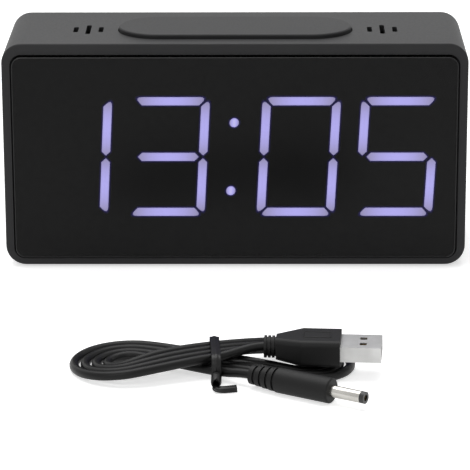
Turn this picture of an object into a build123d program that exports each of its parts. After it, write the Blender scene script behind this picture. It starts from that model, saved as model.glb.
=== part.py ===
from build123d import *
import math
import os

# Digital LED desk clock with its tied-up USB power cable, in millimetres.
# +Z is up, the display faces -Y, and the origin is under the middle of the clock, on the table.

# Case
CASE_WIDTH = 150.0
CASE_HEIGHT = 74.1
CASE_DEPTH = 47.6
CORNER_RADIUS = 6.5
WALL = 2.2
EDGE_ROUND = 0.5
REAR_COVER_DEPTH = 4.5
REAR_EDGE_ROUND = 1.6
TONGUE_REACH = 2.2
TONGUE_THICKNESS = 1.2
TONGUE_CLEARANCE = 0.15

# Front lens and the ledge that it is glued to
RING_WIDTH = 2.2
TOP_RING_WIDTH = 3.6
SIDE_RING_WIDTH = 2.7
POCKET_RADIUS = 0.55 * CORNER_RADIUS
LENS_GAP = 0.6
LENS_PROUD = 1.2
LENS_SEAT_DEPTH = 2.4
LENS_EDGE_ROUND = 0.5
LEDGE_WIDTH = 3.3
LEDGE_THICKNESS = 2.0

# Display
DIGIT_HEIGHT = 0.5398 * CASE_HEIGHT
DIGIT_WIDTH = 0.1707 * CASE_WIDTH
SEGMENT_WIDTH = 2.9
SEGMENT_GAP = 1.0
SEGMENT_CORNER = 1.0
SEGMENT_DEPTH = 2.0
DIGIT_SLANT = 0.046
DIGIT_PITCH = 0.2127 * CASE_WIDTH
MIDDLE_PITCH = 0.282 * CASE_WIDTH
DISPLAY_SHIFT = -0.55
DISPLAY_DROP = 1.3
COLON_SPACING = 0.5775 * DIGIT_HEIGHT
COLON_DIAMETER = 3.2
WINDOW_CLEARANCE = 0.05
REFLECTOR_MARGIN_X = 1.0
REFLECTOR_MARGIN_Z = 0.075 * DIGIT_HEIGHT
REFLECTOR_DEPTH = 9.0
BOARD_THICKNESS = 1.6
BOARD_MARGIN = 0.5
DISPLAY_BOARD_MARGIN_Z = 0.03 * DIGIT_HEIGHT
LED_LENGTH = 2.0
LED_WIDTH = 1.2
LED_HEIGHT = 0.8

# Snooze bar on the top
BAR_LENGTH = 0.506 * CASE_WIDTH
BAR_DEPTH = 0.5644 * CASE_DEPTH
BAR_RAISED = 1.4
BAR_FROM_FRONT = 0.4281 * CASE_DEPTH
BAR_GAP = 0.35
BAR_PLATE = 1.8
BAR_SKIRT = 1.6
BAR_EDGE_ROUND = 0.6
BAR_FLANGE_REACH = 1.5
BAR_FLANGE_THICKNESS = 1.0
BAR_TRAVEL = 0.8
STOP_GAP = 0.1

# Slots through the top, three at each side
SLOT_WIDTH = 1.6
SLOT_LONG = 12.5
SLOT_SHORT = 7.2
SLOT_PITCH = 4.1
SLOT_FROM_BAR = 10.0

# Small push switches, alike under the bar and behind the setting buttons
SWITCH_SIDE = 6.0
SWITCH_HEIGHT = 3.5
STEM_DIAMETER = 3.4
STEM_CLEARANCE = 0.15
STEM_OUT = 1.5
STEM_IN = 1.2

# Boards behind the display
SNOOZE_BOARD_SHORTER = 3.6
SNOOZE_POST_FROM_BAR = 4.6
SNOOZE_POST_FROM_EDGE = 2.5
CONTROL_BOARD_FROM_SIDE = 23.0
CONTROL_BOARD_HEIGHT = 0.2729 * CASE_HEIGHT
CONTROL_BOARD_DROP = 0.2306 * CASE_HEIGHT
DRIVER_CHIP_SIZE = (17.0, 7.5, 2.2)
DRIVER_CHIP_X = -30.0
CONTROL_CHIP_SIZE = (10.0, 10.0, 1.6)
CONTROL_CHIP_X = 0.0
CRYSTAL_SIZE = (3.2, 8.0, 2.6)
CRYSTAL_X = 14.0
BUZZER_DIAMETER = 12.0
BUZZER_HEIGHT = 5.5
BUZZER_X = -30.0
BUZZER_DROP = 0.15 * CONTROL_BOARD_HEIGHT

# Setting buttons on the back
BUTTON_DIAMETER = 6.0
BUTTON_GAP = 0.3
BUTTON_PROUD = 0.9
BUTTON_TRAVEL = 0.6
BUTTON_PITCH = 20.0
BUTTON_FLANGE_REACH = 1.4
BUTTON_FLANGE_THICKNESS = 1.0
BUTTON_EDGE_ROUND = 0.5

# Screws
SCREW_DIAMETER = 2.4
SCREW_LENGTH = 12.0
SCREW_HEAD_DIAMETER = 4.8
SCREW_HEAD_HEIGHT = 1.6
BOARD_SCREW_DIAMETER = 1.8
BOARD_SCREW_LENGTH = 5.0
BOARD_SCREW_HEAD_DIAMETER = 3.6
BOARD_SCREW_HEAD_HEIGHT = 1.2
SCREW_CLEARANCE = 0.05
HEAD_CLEARANCE = 0.3
CASE_BOSS_DIAMETER = 6.4
BOARD_BOSS_DIAMETER = 4.4
BOSS_SINK = 0.2

# Battery bay in the rear cover, for three AAA cells, and its door
BAY_WIDTH = 50.0
BAY_DEPTH = 13.0
BAY_WALL = 1.2
BAY_MIDDLE_X = -8.0
BAY_BOTTOM = 10.0
BAY_BELOW_BOARD = 1.8
BAY_RIB_HEIGHT = 2.0
BAY_RIB_WIDTH = 1.2
CELL_COUNT = 3
CELL_SPARE = 1.0
CONTACT_SIDE = 7.5
CONTACT_THICKNESS = 0.4
CONTACT_REACH = 2.0
DOOR_LAP = 2.0
DOOR_THICKNESS = 1.6
DOOR_GAP = 0.3
DOOR_PIN_DIAMETER = 1.2
DOOR_PIN_LENGTH = 1.2
DOOR_PIN_CLEARANCE = 0.08
GRIP_LINE_WIDTH = 0.8
GRIP_LINE_DEPTH = 0.4
GRIP_LINE_PITCH = 2.0
GRIP_LINE_COUNT = 4
GRIP_LINE_LENGTH = 14.0

# Barrel jack and plug, of the common 3.5 x 1.35 mm size
PLUG_BARREL_DIAMETER = 3.5
PLUG_BORE = 1.35
PLUG_BARREL_LENGTH = 9.6
PLUG_TIP_LENGTH = 1.4
PLUG_BARREL_WALL = 0.4
PLUG_SLEEVE_WALL = 0.25
JACK_CLEARANCE = 0.1
JACK_PIN_DIAMETER = 1.3
JACK_WIDTH = 9.0
JACK_HEIGHT = 8.0
JACK_DEPTH = 14.0
JACK_CORNER = 1.0
JACK_NOSE_DIAMETER = 6.4
JACK_X = 0.32 * CASE_WIDTH
JACK_Z = 18.0

# Feet
FOOT_DIAMETER = 8.0
FOOT_PROUD = 0.6
FOOT_SUNK = 0.8
FOOT_CLEARANCE = 0.1
FOOT_X = 0.4 * CASE_WIDTH
FOOT_FROM_EDGE = 9.0

# Inner wiring
RIBBON_WIDTH = 12.0
RIBBON_THICKNESS = 0.9
RIBBON_BEND = 4.0
RIBBON_X = 30.0
LEAD_DIAMETER = 1.2
LEAD_BEND = 5.0
LEAD_SPACING = 2.4

# Power cord: a figure-eight hank with its ends beside the tie
CORD_DIAMETER = 2.8
TIE_X = -5.0
TIE_Y = -122.0
LOBE_REACH = 26.0
LOBE_RADIUS = 10.8
LEFT_TURNS = 4
TURN_STEP = 3.35
LAYER_STEP = 3.3
CROSSING_MARGIN = 2.0
DC_RUN_ANGLE = 31.0
DC_LEAD = 11.0
USB_BEND_X = 2.5
USB_ANGLE = -4.0
USB_END = (14.5, -3.0)
TIE_WIDTH = 2.0
TIE_THICKNESS = 0.8
TIE_CLEARANCE = 0.15
TIE_CORNER = 2.2
TIE_KNOT_DIAMETER = 2.6
TIE_KNOT_LENGTH = 5.0
TIE_TAIL_DIAMETER = 1.6
TIE_TAIL_LENGTH = 6.0
TIE_TAIL_BEND = 2.4

# USB-A plug
USB_RELIEF_LENGTH = 3.5
USB_RELIEF_DIAMETER = 6.6
USB_RELIEF_GROOVE = 0.5
USB_RELIEF_RIBS = 3
USB_NECK_LENGTH = 7.7
USB_GRIP_LENGTH = 11.2
USB_GRIP_WIDTH = 14.0
USB_GRIP_HEIGHT = 8.0
USB_GRIP_ROUND = 1.6
USB_SHELL_WIDTH = 12.0
USB_SHELL_HEIGHT = 4.5
USB_SHELL_LENGTH = 12.0
USB_SHELL_WALL = 0.3
USB_SHELL_SUNK = 3.0
USB_HOLE_SIDE = 2.0
USB_HOLE_SPACING = 4.8
USB_HOLE_FROM_FRONT = 5.4
USB_TONGUE_HEIGHT = 1.9
USB_TONGUE_SHORT = 0.6
USB_CONTACT_WIDTH = 1.0
USB_CONTACT_HEIGHT = 0.2
USB_CONTACT_LENGTH = 7.5
USB_CONTACT_PITCH = 2.25
USB_LIFT = 0.2

# Barrel plug's moulded grip
DC_GRIP_DIAMETER = 7.4
DC_GRIP_LENGTH = 17.5
DC_GRIP_ROUND = 0.5
DC_RELIEF_LENGTH = 9.0
DC_RELIEF_RIBS = 4
DC_RELIEF_START = 5.2
DC_RELIEF_GROOVE = 0.5

# Places worked out from the sizes above
TOTAL_DEPTH = LENS_PROUD + CASE_DEPTH + BUTTON_PROUD
FRONT_Y = LENS_PROUD - TOTAL_DEPTH / 2
BACK_Y = FRONT_Y + CASE_DEPTH
JOINT_Y = BACK_Y - REAR_COVER_DEPTH
COVER_INNER_Y = BACK_Y - WALL
LEDGE_FRONT_Y = FRONT_Y + LENS_SEAT_DEPTH
LEDGE_BACK_Y = LEDGE_FRONT_Y + LEDGE_THICKNESS
BOARD_FRONT_Y = LEDGE_FRONT_Y + REFLECTOR_DEPTH
BOARD_BACK_Y = BOARD_FRONT_Y + BOARD_THICKNESS
CASE_BOTTOM = FOOT_PROUD
CASE_TOP = CASE_BOTTOM + CASE_HEIGHT
CASE_MIDDLE = CASE_BOTTOM + CASE_HEIGHT / 2
INNER_TOP = CASE_TOP - WALL
INNER_BOTTOM = CASE_BOTTOM + WALL
POCKET_WIDTH = CASE_WIDTH - 2 * SIDE_RING_WIDTH
POCKET_HEIGHT = CASE_HEIGHT - RING_WIDTH - TOP_RING_WIDTH
POCKET_MIDDLE = CASE_BOTTOM + RING_WIDTH + POCKET_HEIGHT / 2
DIGIT_MIDDLE = CASE_MIDDLE - DISPLAY_DROP
DIGIT_CENTRES = [
    DISPLAY_SHIFT - MIDDLE_PITCH / 2 - DIGIT_PITCH,
    DISPLAY_SHIFT - MIDDLE_PITCH / 2,
    DISPLAY_SHIFT + MIDDLE_PITCH / 2,
    DISPLAY_SHIFT + MIDDLE_PITCH / 2 + DIGIT_PITCH,
]
DISPLAY_LEAN = DIGIT_SLANT * DIGIT_HEIGHT / 2
DISPLAY_WIDTH = DIGIT_CENTRES[3] - DIGIT_CENTRES[0] + DIGIT_WIDTH + 2 * DISPLAY_LEAN
REFLECTOR_WIDTH = DISPLAY_WIDTH + 2 * REFLECTOR_MARGIN_X
REFLECTOR_HEIGHT = DIGIT_HEIGHT + 2 * REFLECTOR_MARGIN_Z
SLOT_MIDDLE_X = BAR_LENGTH / 2 + SLOT_FROM_BAR
SNOOZE_BOARD_DEPTH = BAR_DEPTH - SNOOZE_BOARD_SHORTER
SNOOZE_POST_X = BAR_LENGTH / 2 + SNOOZE_POST_FROM_BAR
SNOOZE_POST_OFFSET = SNOOZE_BOARD_DEPTH / 2 - SNOOZE_POST_FROM_EDGE
BAR_Y = FRONT_Y + BAR_FROM_FRONT
BAR_TOP = CASE_TOP + BAR_RAISED
BAR_BOTTOM = INNER_TOP - STOP_GAP - BAR_FLANGE_THICKNESS
SNOOZE_BOARD_TOP = BAR_BOTTOM - STEM_OUT - SWITCH_HEIGHT
BUTTON_INNER_Y = COVER_INNER_Y - STOP_GAP - BUTTON_FLANGE_THICKNESS
CONTROL_BOARD_BACK_Y = BUTTON_INNER_Y - STEM_OUT - SWITCH_HEIGHT
CONTROL_BOARD_FRONT_Y = CONTROL_BOARD_BACK_Y - BOARD_THICKNESS
CASE_BOSS_X = CASE_WIDTH / 2 - WALL - CASE_BOSS_DIAMETER / 2 + BOSS_SINK
CASE_BOSS_LOW = INNER_BOTTOM + CASE_BOSS_DIAMETER / 2 - BOSS_SINK
CASE_BOSS_HIGH = INNER_TOP - CASE_BOSS_DIAMETER / 2 + BOSS_SINK
DISPLAY_BOSS_X = CASE_WIDTH / 2 - WALL - BOARD_BOSS_DIAMETER / 2 + BOSS_SINK
DISPLAY_BOSS_Z = DIGIT_HEIGHT * 0.4
CONTROL_BOARD_WIDTH = CASE_WIDTH - 2 * CONTROL_BOARD_FROM_SIDE
CONTROL_BOARD_MIDDLE = CASE_TOP - CONTROL_BOARD_DROP
CONTROL_BOARD_BOTTOM = CONTROL_BOARD_MIDDLE - CONTROL_BOARD_HEIGHT / 2
BAY_HEIGHT = CONTROL_BOARD_BOTTOM - BAY_BELOW_BOARD - BAY_WALL - BAY_BOTTOM
CELL_PITCH = (BAY_HEIGHT - CELL_SPARE) / CELL_COUNT
BAY_MIDDLE_Z = BAY_BOTTOM + BAY_HEIGHT / 2
BAY_FLOOR_Y = BACK_Y - BAY_DEPTH
DOOR_WINDOW_WIDTH = BAY_WIDTH + 2 * DOOR_LAP
DOOR_WINDOW_HEIGHT = BAY_HEIGHT + 2 * DOOR_LAP
DOOR_SEAT_Y = BACK_Y - DOOR_THICKNESS - DOOR_GAP
DOOR_PIN_Y = BACK_Y - DOOR_THICKNESS / 2
DOOR_PIN_Z = BAY_MIDDLE_Z - DOOR_WINDOW_HEIGHT / 2 + DOOR_GAP + DOOR_THICKNESS / 2
RIGHT_TURNS = LEFT_TURNS - 1
CORD_RADIUS = CORD_DIAMETER / 2
LOW_Z = TIE_THICKNESS + TIE_CLEARANCE + CORD_RADIUS
HIGH_Z = LOW_Z + LAYER_STEP
USB_AXIS_Z = LOW_Z + CORD_RADIUS + USB_LIFT + USB_GRIP_HEIGHT / 2
DC_AXIS_Z = DC_GRIP_DIAMETER / 2

# Segments a to g run clockwise from the top, with g across the middle
LIT_SEGMENTS = ["bc", "abcdg", "abcdef", "acdfg"]
DIGIT_NAMES = ["hour_tens", "hour_units", "minute_tens", "minute_units"]
BUTTON_NAMES = ["mode", "alarm", "minus", "plus"]


def front_plane(y):
    """The plane at depth y whose own axes are x and z, as seen from the front."""
    return Plane(origin=(0, y, 0), x_dir=(1, 0, 0), z_dir=(0, -1, 0))


def prism(sketch, y_from, y_to):
    """A sketch in x and z carried back from y_from to y_to."""
    return extrude(front_plane(y_from) * sketch, amount=y_from - y_to)


def column(sketch, z_from, z_to):
    """A sketch in x and y carried up from z_from to z_to."""
    return extrude(Plane.XY.offset(z_from) * sketch, amount=z_to - z_from)


def disc(x, z, diameter, y_from, y_to):
    """A round bar along y."""
    return prism(Pos(x, z) * Circle(diameter / 2), y_from, y_to)


def post(x, y, diameter, z_from, z_to):
    """A round bar along z."""
    return column(Pos(x, y) * Circle(diameter / 2), z_from, z_to)


def group(pieces):
    """Separate solids kept together as one sub-part."""
    return Compound(children=[solid for piece in pieces for solid in piece.solids()])


def corners(x, z_low, z_high):
    """The four places at x on both sides and at two heights."""
    return [(side * x, z) for side in (-1, 1) for z in (z_low, z_high)]


def case_outline():
    """The rounded outline of the case, seen from the front."""
    return Pos(0, CASE_MIDDLE) * RectangleRounded(CASE_WIDTH, CASE_HEIGHT, CORNER_RADIUS)


def bar_outline(growth):
    """The bar's stadium outline in plan, grown by an amount all round."""
    return Pos(0, BAR_Y) * SlotOverall(BAR_LENGTH + 2 * growth, BAR_DEPTH + 2 * growth)


def slot_outlines():
    """The slots beside the bar: a long one between two short ones at each side."""
    outlines = []
    for side in (-1, 1):
        for step, length in ((-1, SLOT_SHORT), (0, SLOT_LONG), (1, SLOT_SHORT)):
            x = side * (SLOT_MIDDLE_X + step * SLOT_PITCH)
            outlines.append(Pos(x, BAR_Y) * SlotOverall(length, SLOT_WIDTH, rotation=90))
    return Sketch() + outlines


def foot_places():
    """The middles of the four feet in plan."""
    rows = (FRONT_Y + FOOT_FROM_EDGE, JOINT_Y - FOOT_FROM_EDGE)
    return [(side * FOOT_X, y) for side in (-1, 1) for y in rows]


def snooze_posts():
    """The middles of the four posts that hold the snooze board."""
    rows = (BAR_Y - SNOOZE_POST_OFFSET, BAR_Y + SNOOZE_POST_OFFSET)
    return [(side * SNOOZE_POST_X, y) for side in (-1, 1) for y in rows]


def display_bosses():
    """The middles of the four bosses that hold the display board."""
    return corners(DISPLAY_BOSS_X, DIGIT_MIDDLE - DISPLAY_BOSS_Z, DIGIT_MIDDLE + DISPLAY_BOSS_Z)


def case_bosses():
    """The middles of the four corner bosses for the case screws."""
    return corners(CASE_BOSS_X, CASE_BOSS_LOW, CASE_BOSS_HIGH)


def make_case_shell():
    """The sleeve with its front ring, lens ledge, bar opening, slots and bosses."""
    outer = prism(case_outline(), FRONT_Y, JOINT_Y)
    outer = fillet(outer.faces().sort_by(Axis.Y)[0].edges(), EDGE_ROUND)
    pocket = Pos(0, POCKET_MIDDLE) * RectangleRounded(POCKET_WIDTH, POCKET_HEIGHT, POCKET_RADIUS)
    inner = RectangleRounded(CASE_WIDTH - 2 * WALL, CASE_HEIGHT - 2 * WALL, CORNER_RADIUS - WALL)
    sight = Rectangle(POCKET_WIDTH - 2 * LEDGE_WIDTH, POCKET_HEIGHT - 2 * LEDGE_WIDTH)
    shell = outer - prism(pocket, FRONT_Y, LEDGE_FRONT_Y)
    shell -= prism(Pos(0, POCKET_MIDDLE) * sight, LEDGE_FRONT_Y, LEDGE_BACK_Y)
    shell -= prism(Pos(0, CASE_MIDDLE) * inner, LEDGE_BACK_Y, JOINT_Y)
    for x, z in case_bosses():
        shell += disc(x, z, CASE_BOSS_DIAMETER, LEDGE_BACK_Y - BOSS_SINK, JOINT_Y)
    for x, z in display_bosses():
        shell += disc(x, z, BOARD_BOSS_DIAMETER, LEDGE_BACK_Y - BOSS_SINK, BOARD_FRONT_Y)
    for x, y in snooze_posts():
        shell += post(x, y, BOARD_BOSS_DIAMETER, SNOOZE_BOARD_TOP, INNER_TOP + BOSS_SINK)
    hole = SCREW_DIAMETER + 2 * SCREW_CLEARANCE
    small_hole = BOARD_SCREW_DIAMETER + 2 * SCREW_CLEARANCE
    for x, z in case_bosses():
        shell -= disc(x, z, hole, JOINT_Y - SCREW_LENGTH, JOINT_Y)
    for x, z in display_bosses():
        shell -= disc(x, z, small_hole, BOARD_BACK_Y - BOARD_SCREW_LENGTH, BOARD_FRONT_Y)
    for x, y in snooze_posts():
        shell -= post(x, y, small_hole, SNOOZE_BOARD_TOP, snooze_screw_end())
    shell -= column(bar_outline(BAR_GAP), INNER_TOP - STOP_GAP, CASE_TOP)
    shell -= column(slot_outlines(), INNER_TOP - STOP_GAP, CASE_TOP)
    for x, y in foot_places():
        shell -= post(x, y, FOOT_DIAMETER + 2 * FOOT_CLEARANCE, CASE_BOTTOM, CASE_BOTTOM + FOOT_SUNK)
    return shell


def snooze_screw_end():
    """The height that the snooze board's screws reach up to."""
    return SNOOZE_BOARD_TOP - BOARD_THICKNESS + BOARD_SCREW_LENGTH


def make_front_lens():
    """The smoked window, with its front edge rounded."""
    width = POCKET_WIDTH - 2 * LENS_GAP
    height = POCKET_HEIGHT - 2 * LENS_GAP
    outline = Pos(0, POCKET_MIDDLE) * RectangleRounded(width, height, POCKET_RADIUS - LENS_GAP)
    lens = prism(outline, FRONT_Y - LENS_PROUD, LEDGE_FRONT_Y)
    return fillet(lens.faces().sort_by(Axis.Y)[0].edges(), LENS_EDGE_ROUND)


def segment_cells():
    """Corner points of the seven segments, before the gaps between them are taken off."""
    a = (DIGIT_WIDTH + SEGMENT_GAP) / 2
    b = (DIGIT_HEIGHT + SEGMENT_GAP) / 2
    t = SEGMENT_WIDTH + SEGMENT_GAP
    top = [(-a, b), (a, b), (a - t, b - t), (t - a, b - t)]
    right = [(a, b), (a - t, b - t), (a - t, t / 2), (a - t / 2, 0), (a, t / 2)]
    middle_top = [(t / 2 - a, 0), (t - a, t / 2), (a - t, t / 2)]
    middle = middle_top + [(-x, -y) for x, y in middle_top]
    return {
        "a": top,
        "b": right,
        "c": [(x, -z) for x, z in right],
        "d": [(x, -z) for x, z in top],
        "e": [(-x, -z) for x, z in right],
        "f": [(-x, z) for x, z in right],
        "g": middle,
    }


def lean(x, z, centre):
    """A point of a digit, set in its place and leaned over to the right."""
    return centre + x + DIGIT_SLANT * z, DIGIT_MIDDLE + z


def segment_outline(letter, centre, growth):
    """One segment, leaned over, with rounded corners, grown by an amount all round."""
    points = [lean(x, z, centre) for x, z in segment_cells()[letter]]
    cell = make_face(Polyline(*points, close=True))
    outline = offset(cell, amount=growth - SEGMENT_GAP / 2, kind=Kind.INTERSECTION)
    return fillet(outline.vertices(), SEGMENT_CORNER)


def segment_middle(letter, centre):
    """The middle of one segment, where its LED sits."""
    points = [lean(x, z, centre) for x, z in segment_cells()[letter]]
    return sum(x for x, z in points) / len(points), sum(z for x, z in points) / len(points)


def colon_places():
    """The middles of the two dots, which lean as the digits do."""
    return [lean(0, side * COLON_SPACING / 2, DISPLAY_SHIFT) for side in (-1, 1)]


def make_segments(letters, centre):
    """The light guides of the named segments of one digit."""
    y = LEDGE_FRONT_Y
    return group([prism(segment_outline(letter, centre, 0), y, y + SEGMENT_DEPTH) for letter in letters])


def make_dark_segments():
    """The light guides that stay unlit at the time shown."""
    guides = []
    for letters, centre in zip(LIT_SEGMENTS, DIGIT_CENTRES):
        unlit = [letter for letter in "abcdefg" if letter not in letters]
        guides.append(make_segments(unlit, centre))
    return group(guides)


def make_colon_dots():
    """The two round light guides between the hours and the minutes."""
    y = LEDGE_FRONT_Y
    return group([disc(x, z, COLON_DIAMETER, y, y + SEGMENT_DEPTH) for x, z in colon_places()])


def make_display_reflector():
    """The black block with a light well behind each segment and dot."""
    face = Pos(DISPLAY_SHIFT, DIGIT_MIDDLE) * Rectangle(REFLECTOR_WIDTH, REFLECTOR_HEIGHT)
    for centre in DIGIT_CENTRES:
        face -= [segment_outline(letter, centre, WINDOW_CLEARANCE) for letter in "abcdefg"]
    for x, z in colon_places():
        face -= Pos(x, z) * Circle(COLON_DIAMETER / 2 + WINDOW_CLEARANCE)
    return prism(face, LEDGE_FRONT_Y, BOARD_FRONT_Y)


def make_display_board():
    """The printed board behind the reflector."""
    width = CASE_WIDTH - 2 * WALL - 2 * BOARD_MARGIN
    height = REFLECTOR_HEIGHT + 2 * DISPLAY_BOARD_MARGIN_Z
    outline = Pos(0, DIGIT_MIDDLE) * Rectangle(width, height)
    for x, z in display_bosses():
        outline -= Pos(x, z) * Circle(BOARD_SCREW_DIAMETER / 2 + SCREW_CLEARANCE)
    return prism(outline, BOARD_FRONT_Y, BOARD_BACK_Y)


def make_display_leds():
    """One LED on the board at the back of each light well."""
    places = [segment_middle(letter, centre) for centre in DIGIT_CENTRES for letter in "abcdefg"]
    leds = []
    for x, z in places + colon_places():
        outline = Pos(x, z) * Rectangle(LED_LENGTH, LED_WIDTH)
        leds.append(prism(outline, BOARD_FRONT_Y - LED_HEIGHT, BOARD_FRONT_Y))
    return group(leds)


def make_chip(x, z, size, y_seat, toward):
    """A flat chip on a board face at y_seat, standing out along y by toward (+1 or -1)."""
    width, height, thickness = size
    y_ends = sorted((y_seat, y_seat + toward * thickness))
    return prism(Pos(x, z) * RectangleRounded(width, height, thickness / 4), *y_ends)


def make_screw(diameter, length, head_diameter, head_height):
    """A pan-head screw along -Y, its head's seat at the origin, with a cross in the head."""
    head = Cylinder(head_diameter / 2, head_height, align=(Align.CENTER, Align.CENTER, Align.MIN))
    head = fillet(head.faces().sort_by(Axis.Z)[-1].edges(), head_height / 3)
    cross = Box(head_diameter * 0.6, head_diameter * 0.14, head_height)
    cross += Box(head_diameter * 0.14, head_diameter * 0.6, head_height)
    shank = Cylinder(diameter / 2, length, align=(Align.CENTER, Align.CENTER, Align.MAX))
    return Rot(-90, 0, 0) * (head + shank - Pos(0, 0, head_height) * cross)


def make_case_screws():
    """Four screws from the back into the corner bosses."""
    screw = make_screw(SCREW_DIAMETER, SCREW_LENGTH, SCREW_HEAD_DIAMETER, SCREW_HEAD_HEIGHT)
    return group([Pos(x, COVER_INNER_Y, z) * screw for x, z in case_bosses()])


def make_board_screw():
    """The small screw that holds the boards."""
    head = (BOARD_SCREW_HEAD_DIAMETER, BOARD_SCREW_HEAD_HEIGHT)
    return make_screw(BOARD_SCREW_DIAMETER, BOARD_SCREW_LENGTH, *head)


def make_display_screws():
    """Four screws that hold the display board to the sleeve."""
    return group([Pos(x, BOARD_BACK_Y, z) * make_board_screw() for x, z in display_bosses()])


def make_snooze_bar():
    """The bar: a plate with a skirt, a flange that stops it, and a plunger in the middle."""
    bar = column(bar_outline(0), BAR_BOTTOM, BAR_TOP)
    bar = fillet(bar.faces().sort_by(Axis.Z)[-1].edges(), BAR_EDGE_ROUND)
    bar += column(bar_outline(BAR_FLANGE_REACH), BAR_BOTTOM, BAR_BOTTOM + BAR_FLANGE_THICKNESS)
    bar -= column(bar_outline(-BAR_SKIRT), BAR_BOTTOM, BAR_TOP - BAR_PLATE)
    bar += post(0, BAR_Y, STEM_DIAMETER + 2 * BAR_SKIRT, BAR_BOTTOM, BAR_TOP - BAR_PLATE)
    return bar


def make_switch():
    """A push switch on the XY plane: a square body with a well for its stem."""
    body = Box(SWITCH_SIDE, SWITCH_SIDE, SWITCH_HEIGHT, align=(Align.CENTER, Align.CENTER, Align.MIN))
    body = fillet(body.edges().filter_by(Axis.Z), SWITCH_SIDE / 12)
    well = Cylinder(STEM_DIAMETER / 2 + STEM_CLEARANCE, 2 * STEM_IN + STEM_CLEARANCE)
    return body - Pos(0, 0, SWITCH_HEIGHT) * well


def make_stem(travel):
    """A switch's stem, in line with the switch, its foot clear of the well's floor over the travel."""
    foot = SWITCH_HEIGHT - STEM_IN + travel
    length = SWITCH_HEIGHT + STEM_OUT - foot
    return extrude(Pos(0, 0, foot) * Circle(STEM_DIAMETER / 2), amount=length)


def make_snooze_board():
    """The board under the bar, screwed to the four posts."""
    outline = Pos(0, BAR_Y) * Rectangle(2 * SNOOZE_POST_X + BOARD_BOSS_DIAMETER, SNOOZE_BOARD_DEPTH)
    for x, y in snooze_posts():
        outline -= Pos(x, y) * Circle(BOARD_SCREW_DIAMETER / 2 + SCREW_CLEARANCE)
    return column(outline, SNOOZE_BOARD_TOP - BOARD_THICKNESS, SNOOZE_BOARD_TOP)


def make_snooze_screws():
    """Four screws from below into the snooze board's posts."""
    seat = SNOOZE_BOARD_TOP - BOARD_THICKNESS
    upward = Rot(-90, 0, 0) * make_board_screw()
    return group([Pos(x, y, seat) * upward for x, y in snooze_posts()])


def button_places():
    """Where the setting buttons stand on the back, by name."""
    span = BUTTON_PITCH * (len(BUTTON_NAMES) - 1)
    return {name: i * BUTTON_PITCH - span / 2 for i, name in enumerate(BUTTON_NAMES)}


def on_control_board(shape, x):
    """A shape drawn on the XY plane, stood on the back face of the control board."""
    return Pos(x, CONTROL_BOARD_BACK_Y, CONTROL_BOARD_MIDDLE) * Rot(-90, 0, 0) * shape


def control_bosses():
    """The middles of the four bosses that hold the control board."""
    x = (CONTROL_BOARD_WIDTH - BOARD_BOSS_DIAMETER) / 2 - BOARD_MARGIN
    z = (CONTROL_BOARD_HEIGHT - BOARD_BOSS_DIAMETER) / 2 - BOARD_MARGIN
    return corners(x, CONTROL_BOARD_MIDDLE - z, CONTROL_BOARD_MIDDLE + z)


def make_control_board():
    """The board that carries the setting switches, the chip and the buzzer."""
    outline = Pos(0, CONTROL_BOARD_MIDDLE) * Rectangle(CONTROL_BOARD_WIDTH, CONTROL_BOARD_HEIGHT)
    for x, z in control_bosses():
        outline -= Pos(x, z) * Circle(BOARD_SCREW_DIAMETER / 2 + SCREW_CLEARANCE)
    return prism(outline, CONTROL_BOARD_FRONT_Y, CONTROL_BOARD_BACK_Y)


def on_control_front(x, size):
    """A chip on the front face of the control board."""
    return make_chip(x, CONTROL_BOARD_MIDDLE, size, CONTROL_BOARD_FRONT_Y, -1)


def make_buzzer():
    """The round buzzer on the front face of the control board."""
    z = CONTROL_BOARD_MIDDLE - BUZZER_DROP
    return disc(BUZZER_X, z, BUZZER_DIAMETER, CONTROL_BOARD_FRONT_Y - BUZZER_HEIGHT, CONTROL_BOARD_FRONT_Y)


def make_control_screws():
    """Four screws from the front side of the control board into the cover's bosses."""
    forward = Rot(180, 0, 0) * make_board_screw()
    return group([Pos(x, CONTROL_BOARD_FRONT_Y, z) * forward for x, z in control_bosses()])


def make_button(x):
    """A round setting button with a flange behind the cover."""
    cap = disc(x, CONTROL_BOARD_MIDDLE, BUTTON_DIAMETER, BUTTON_INNER_Y, BACK_Y + BUTTON_PROUD)
    cap = fillet(cap.faces().sort_by(Axis.Y)[-1].edges(), BUTTON_EDGE_ROUND)
    flange = BUTTON_DIAMETER + 2 * BUTTON_FLANGE_REACH
    flange_back = BUTTON_INNER_Y + BUTTON_FLANGE_THICKNESS
    return cap + disc(x, CONTROL_BOARD_MIDDLE, flange, BUTTON_INNER_Y, flange_back)


def bay_box(growth, y_from, y_to):
    """A block on the battery bay's outline, grown all round."""
    outline = Rectangle(BAY_WIDTH + 2 * growth, BAY_HEIGHT + 2 * growth)
    return prism(Pos(BAY_MIDDLE_X, BAY_MIDDLE_Z) * outline, y_from, y_to)


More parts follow.
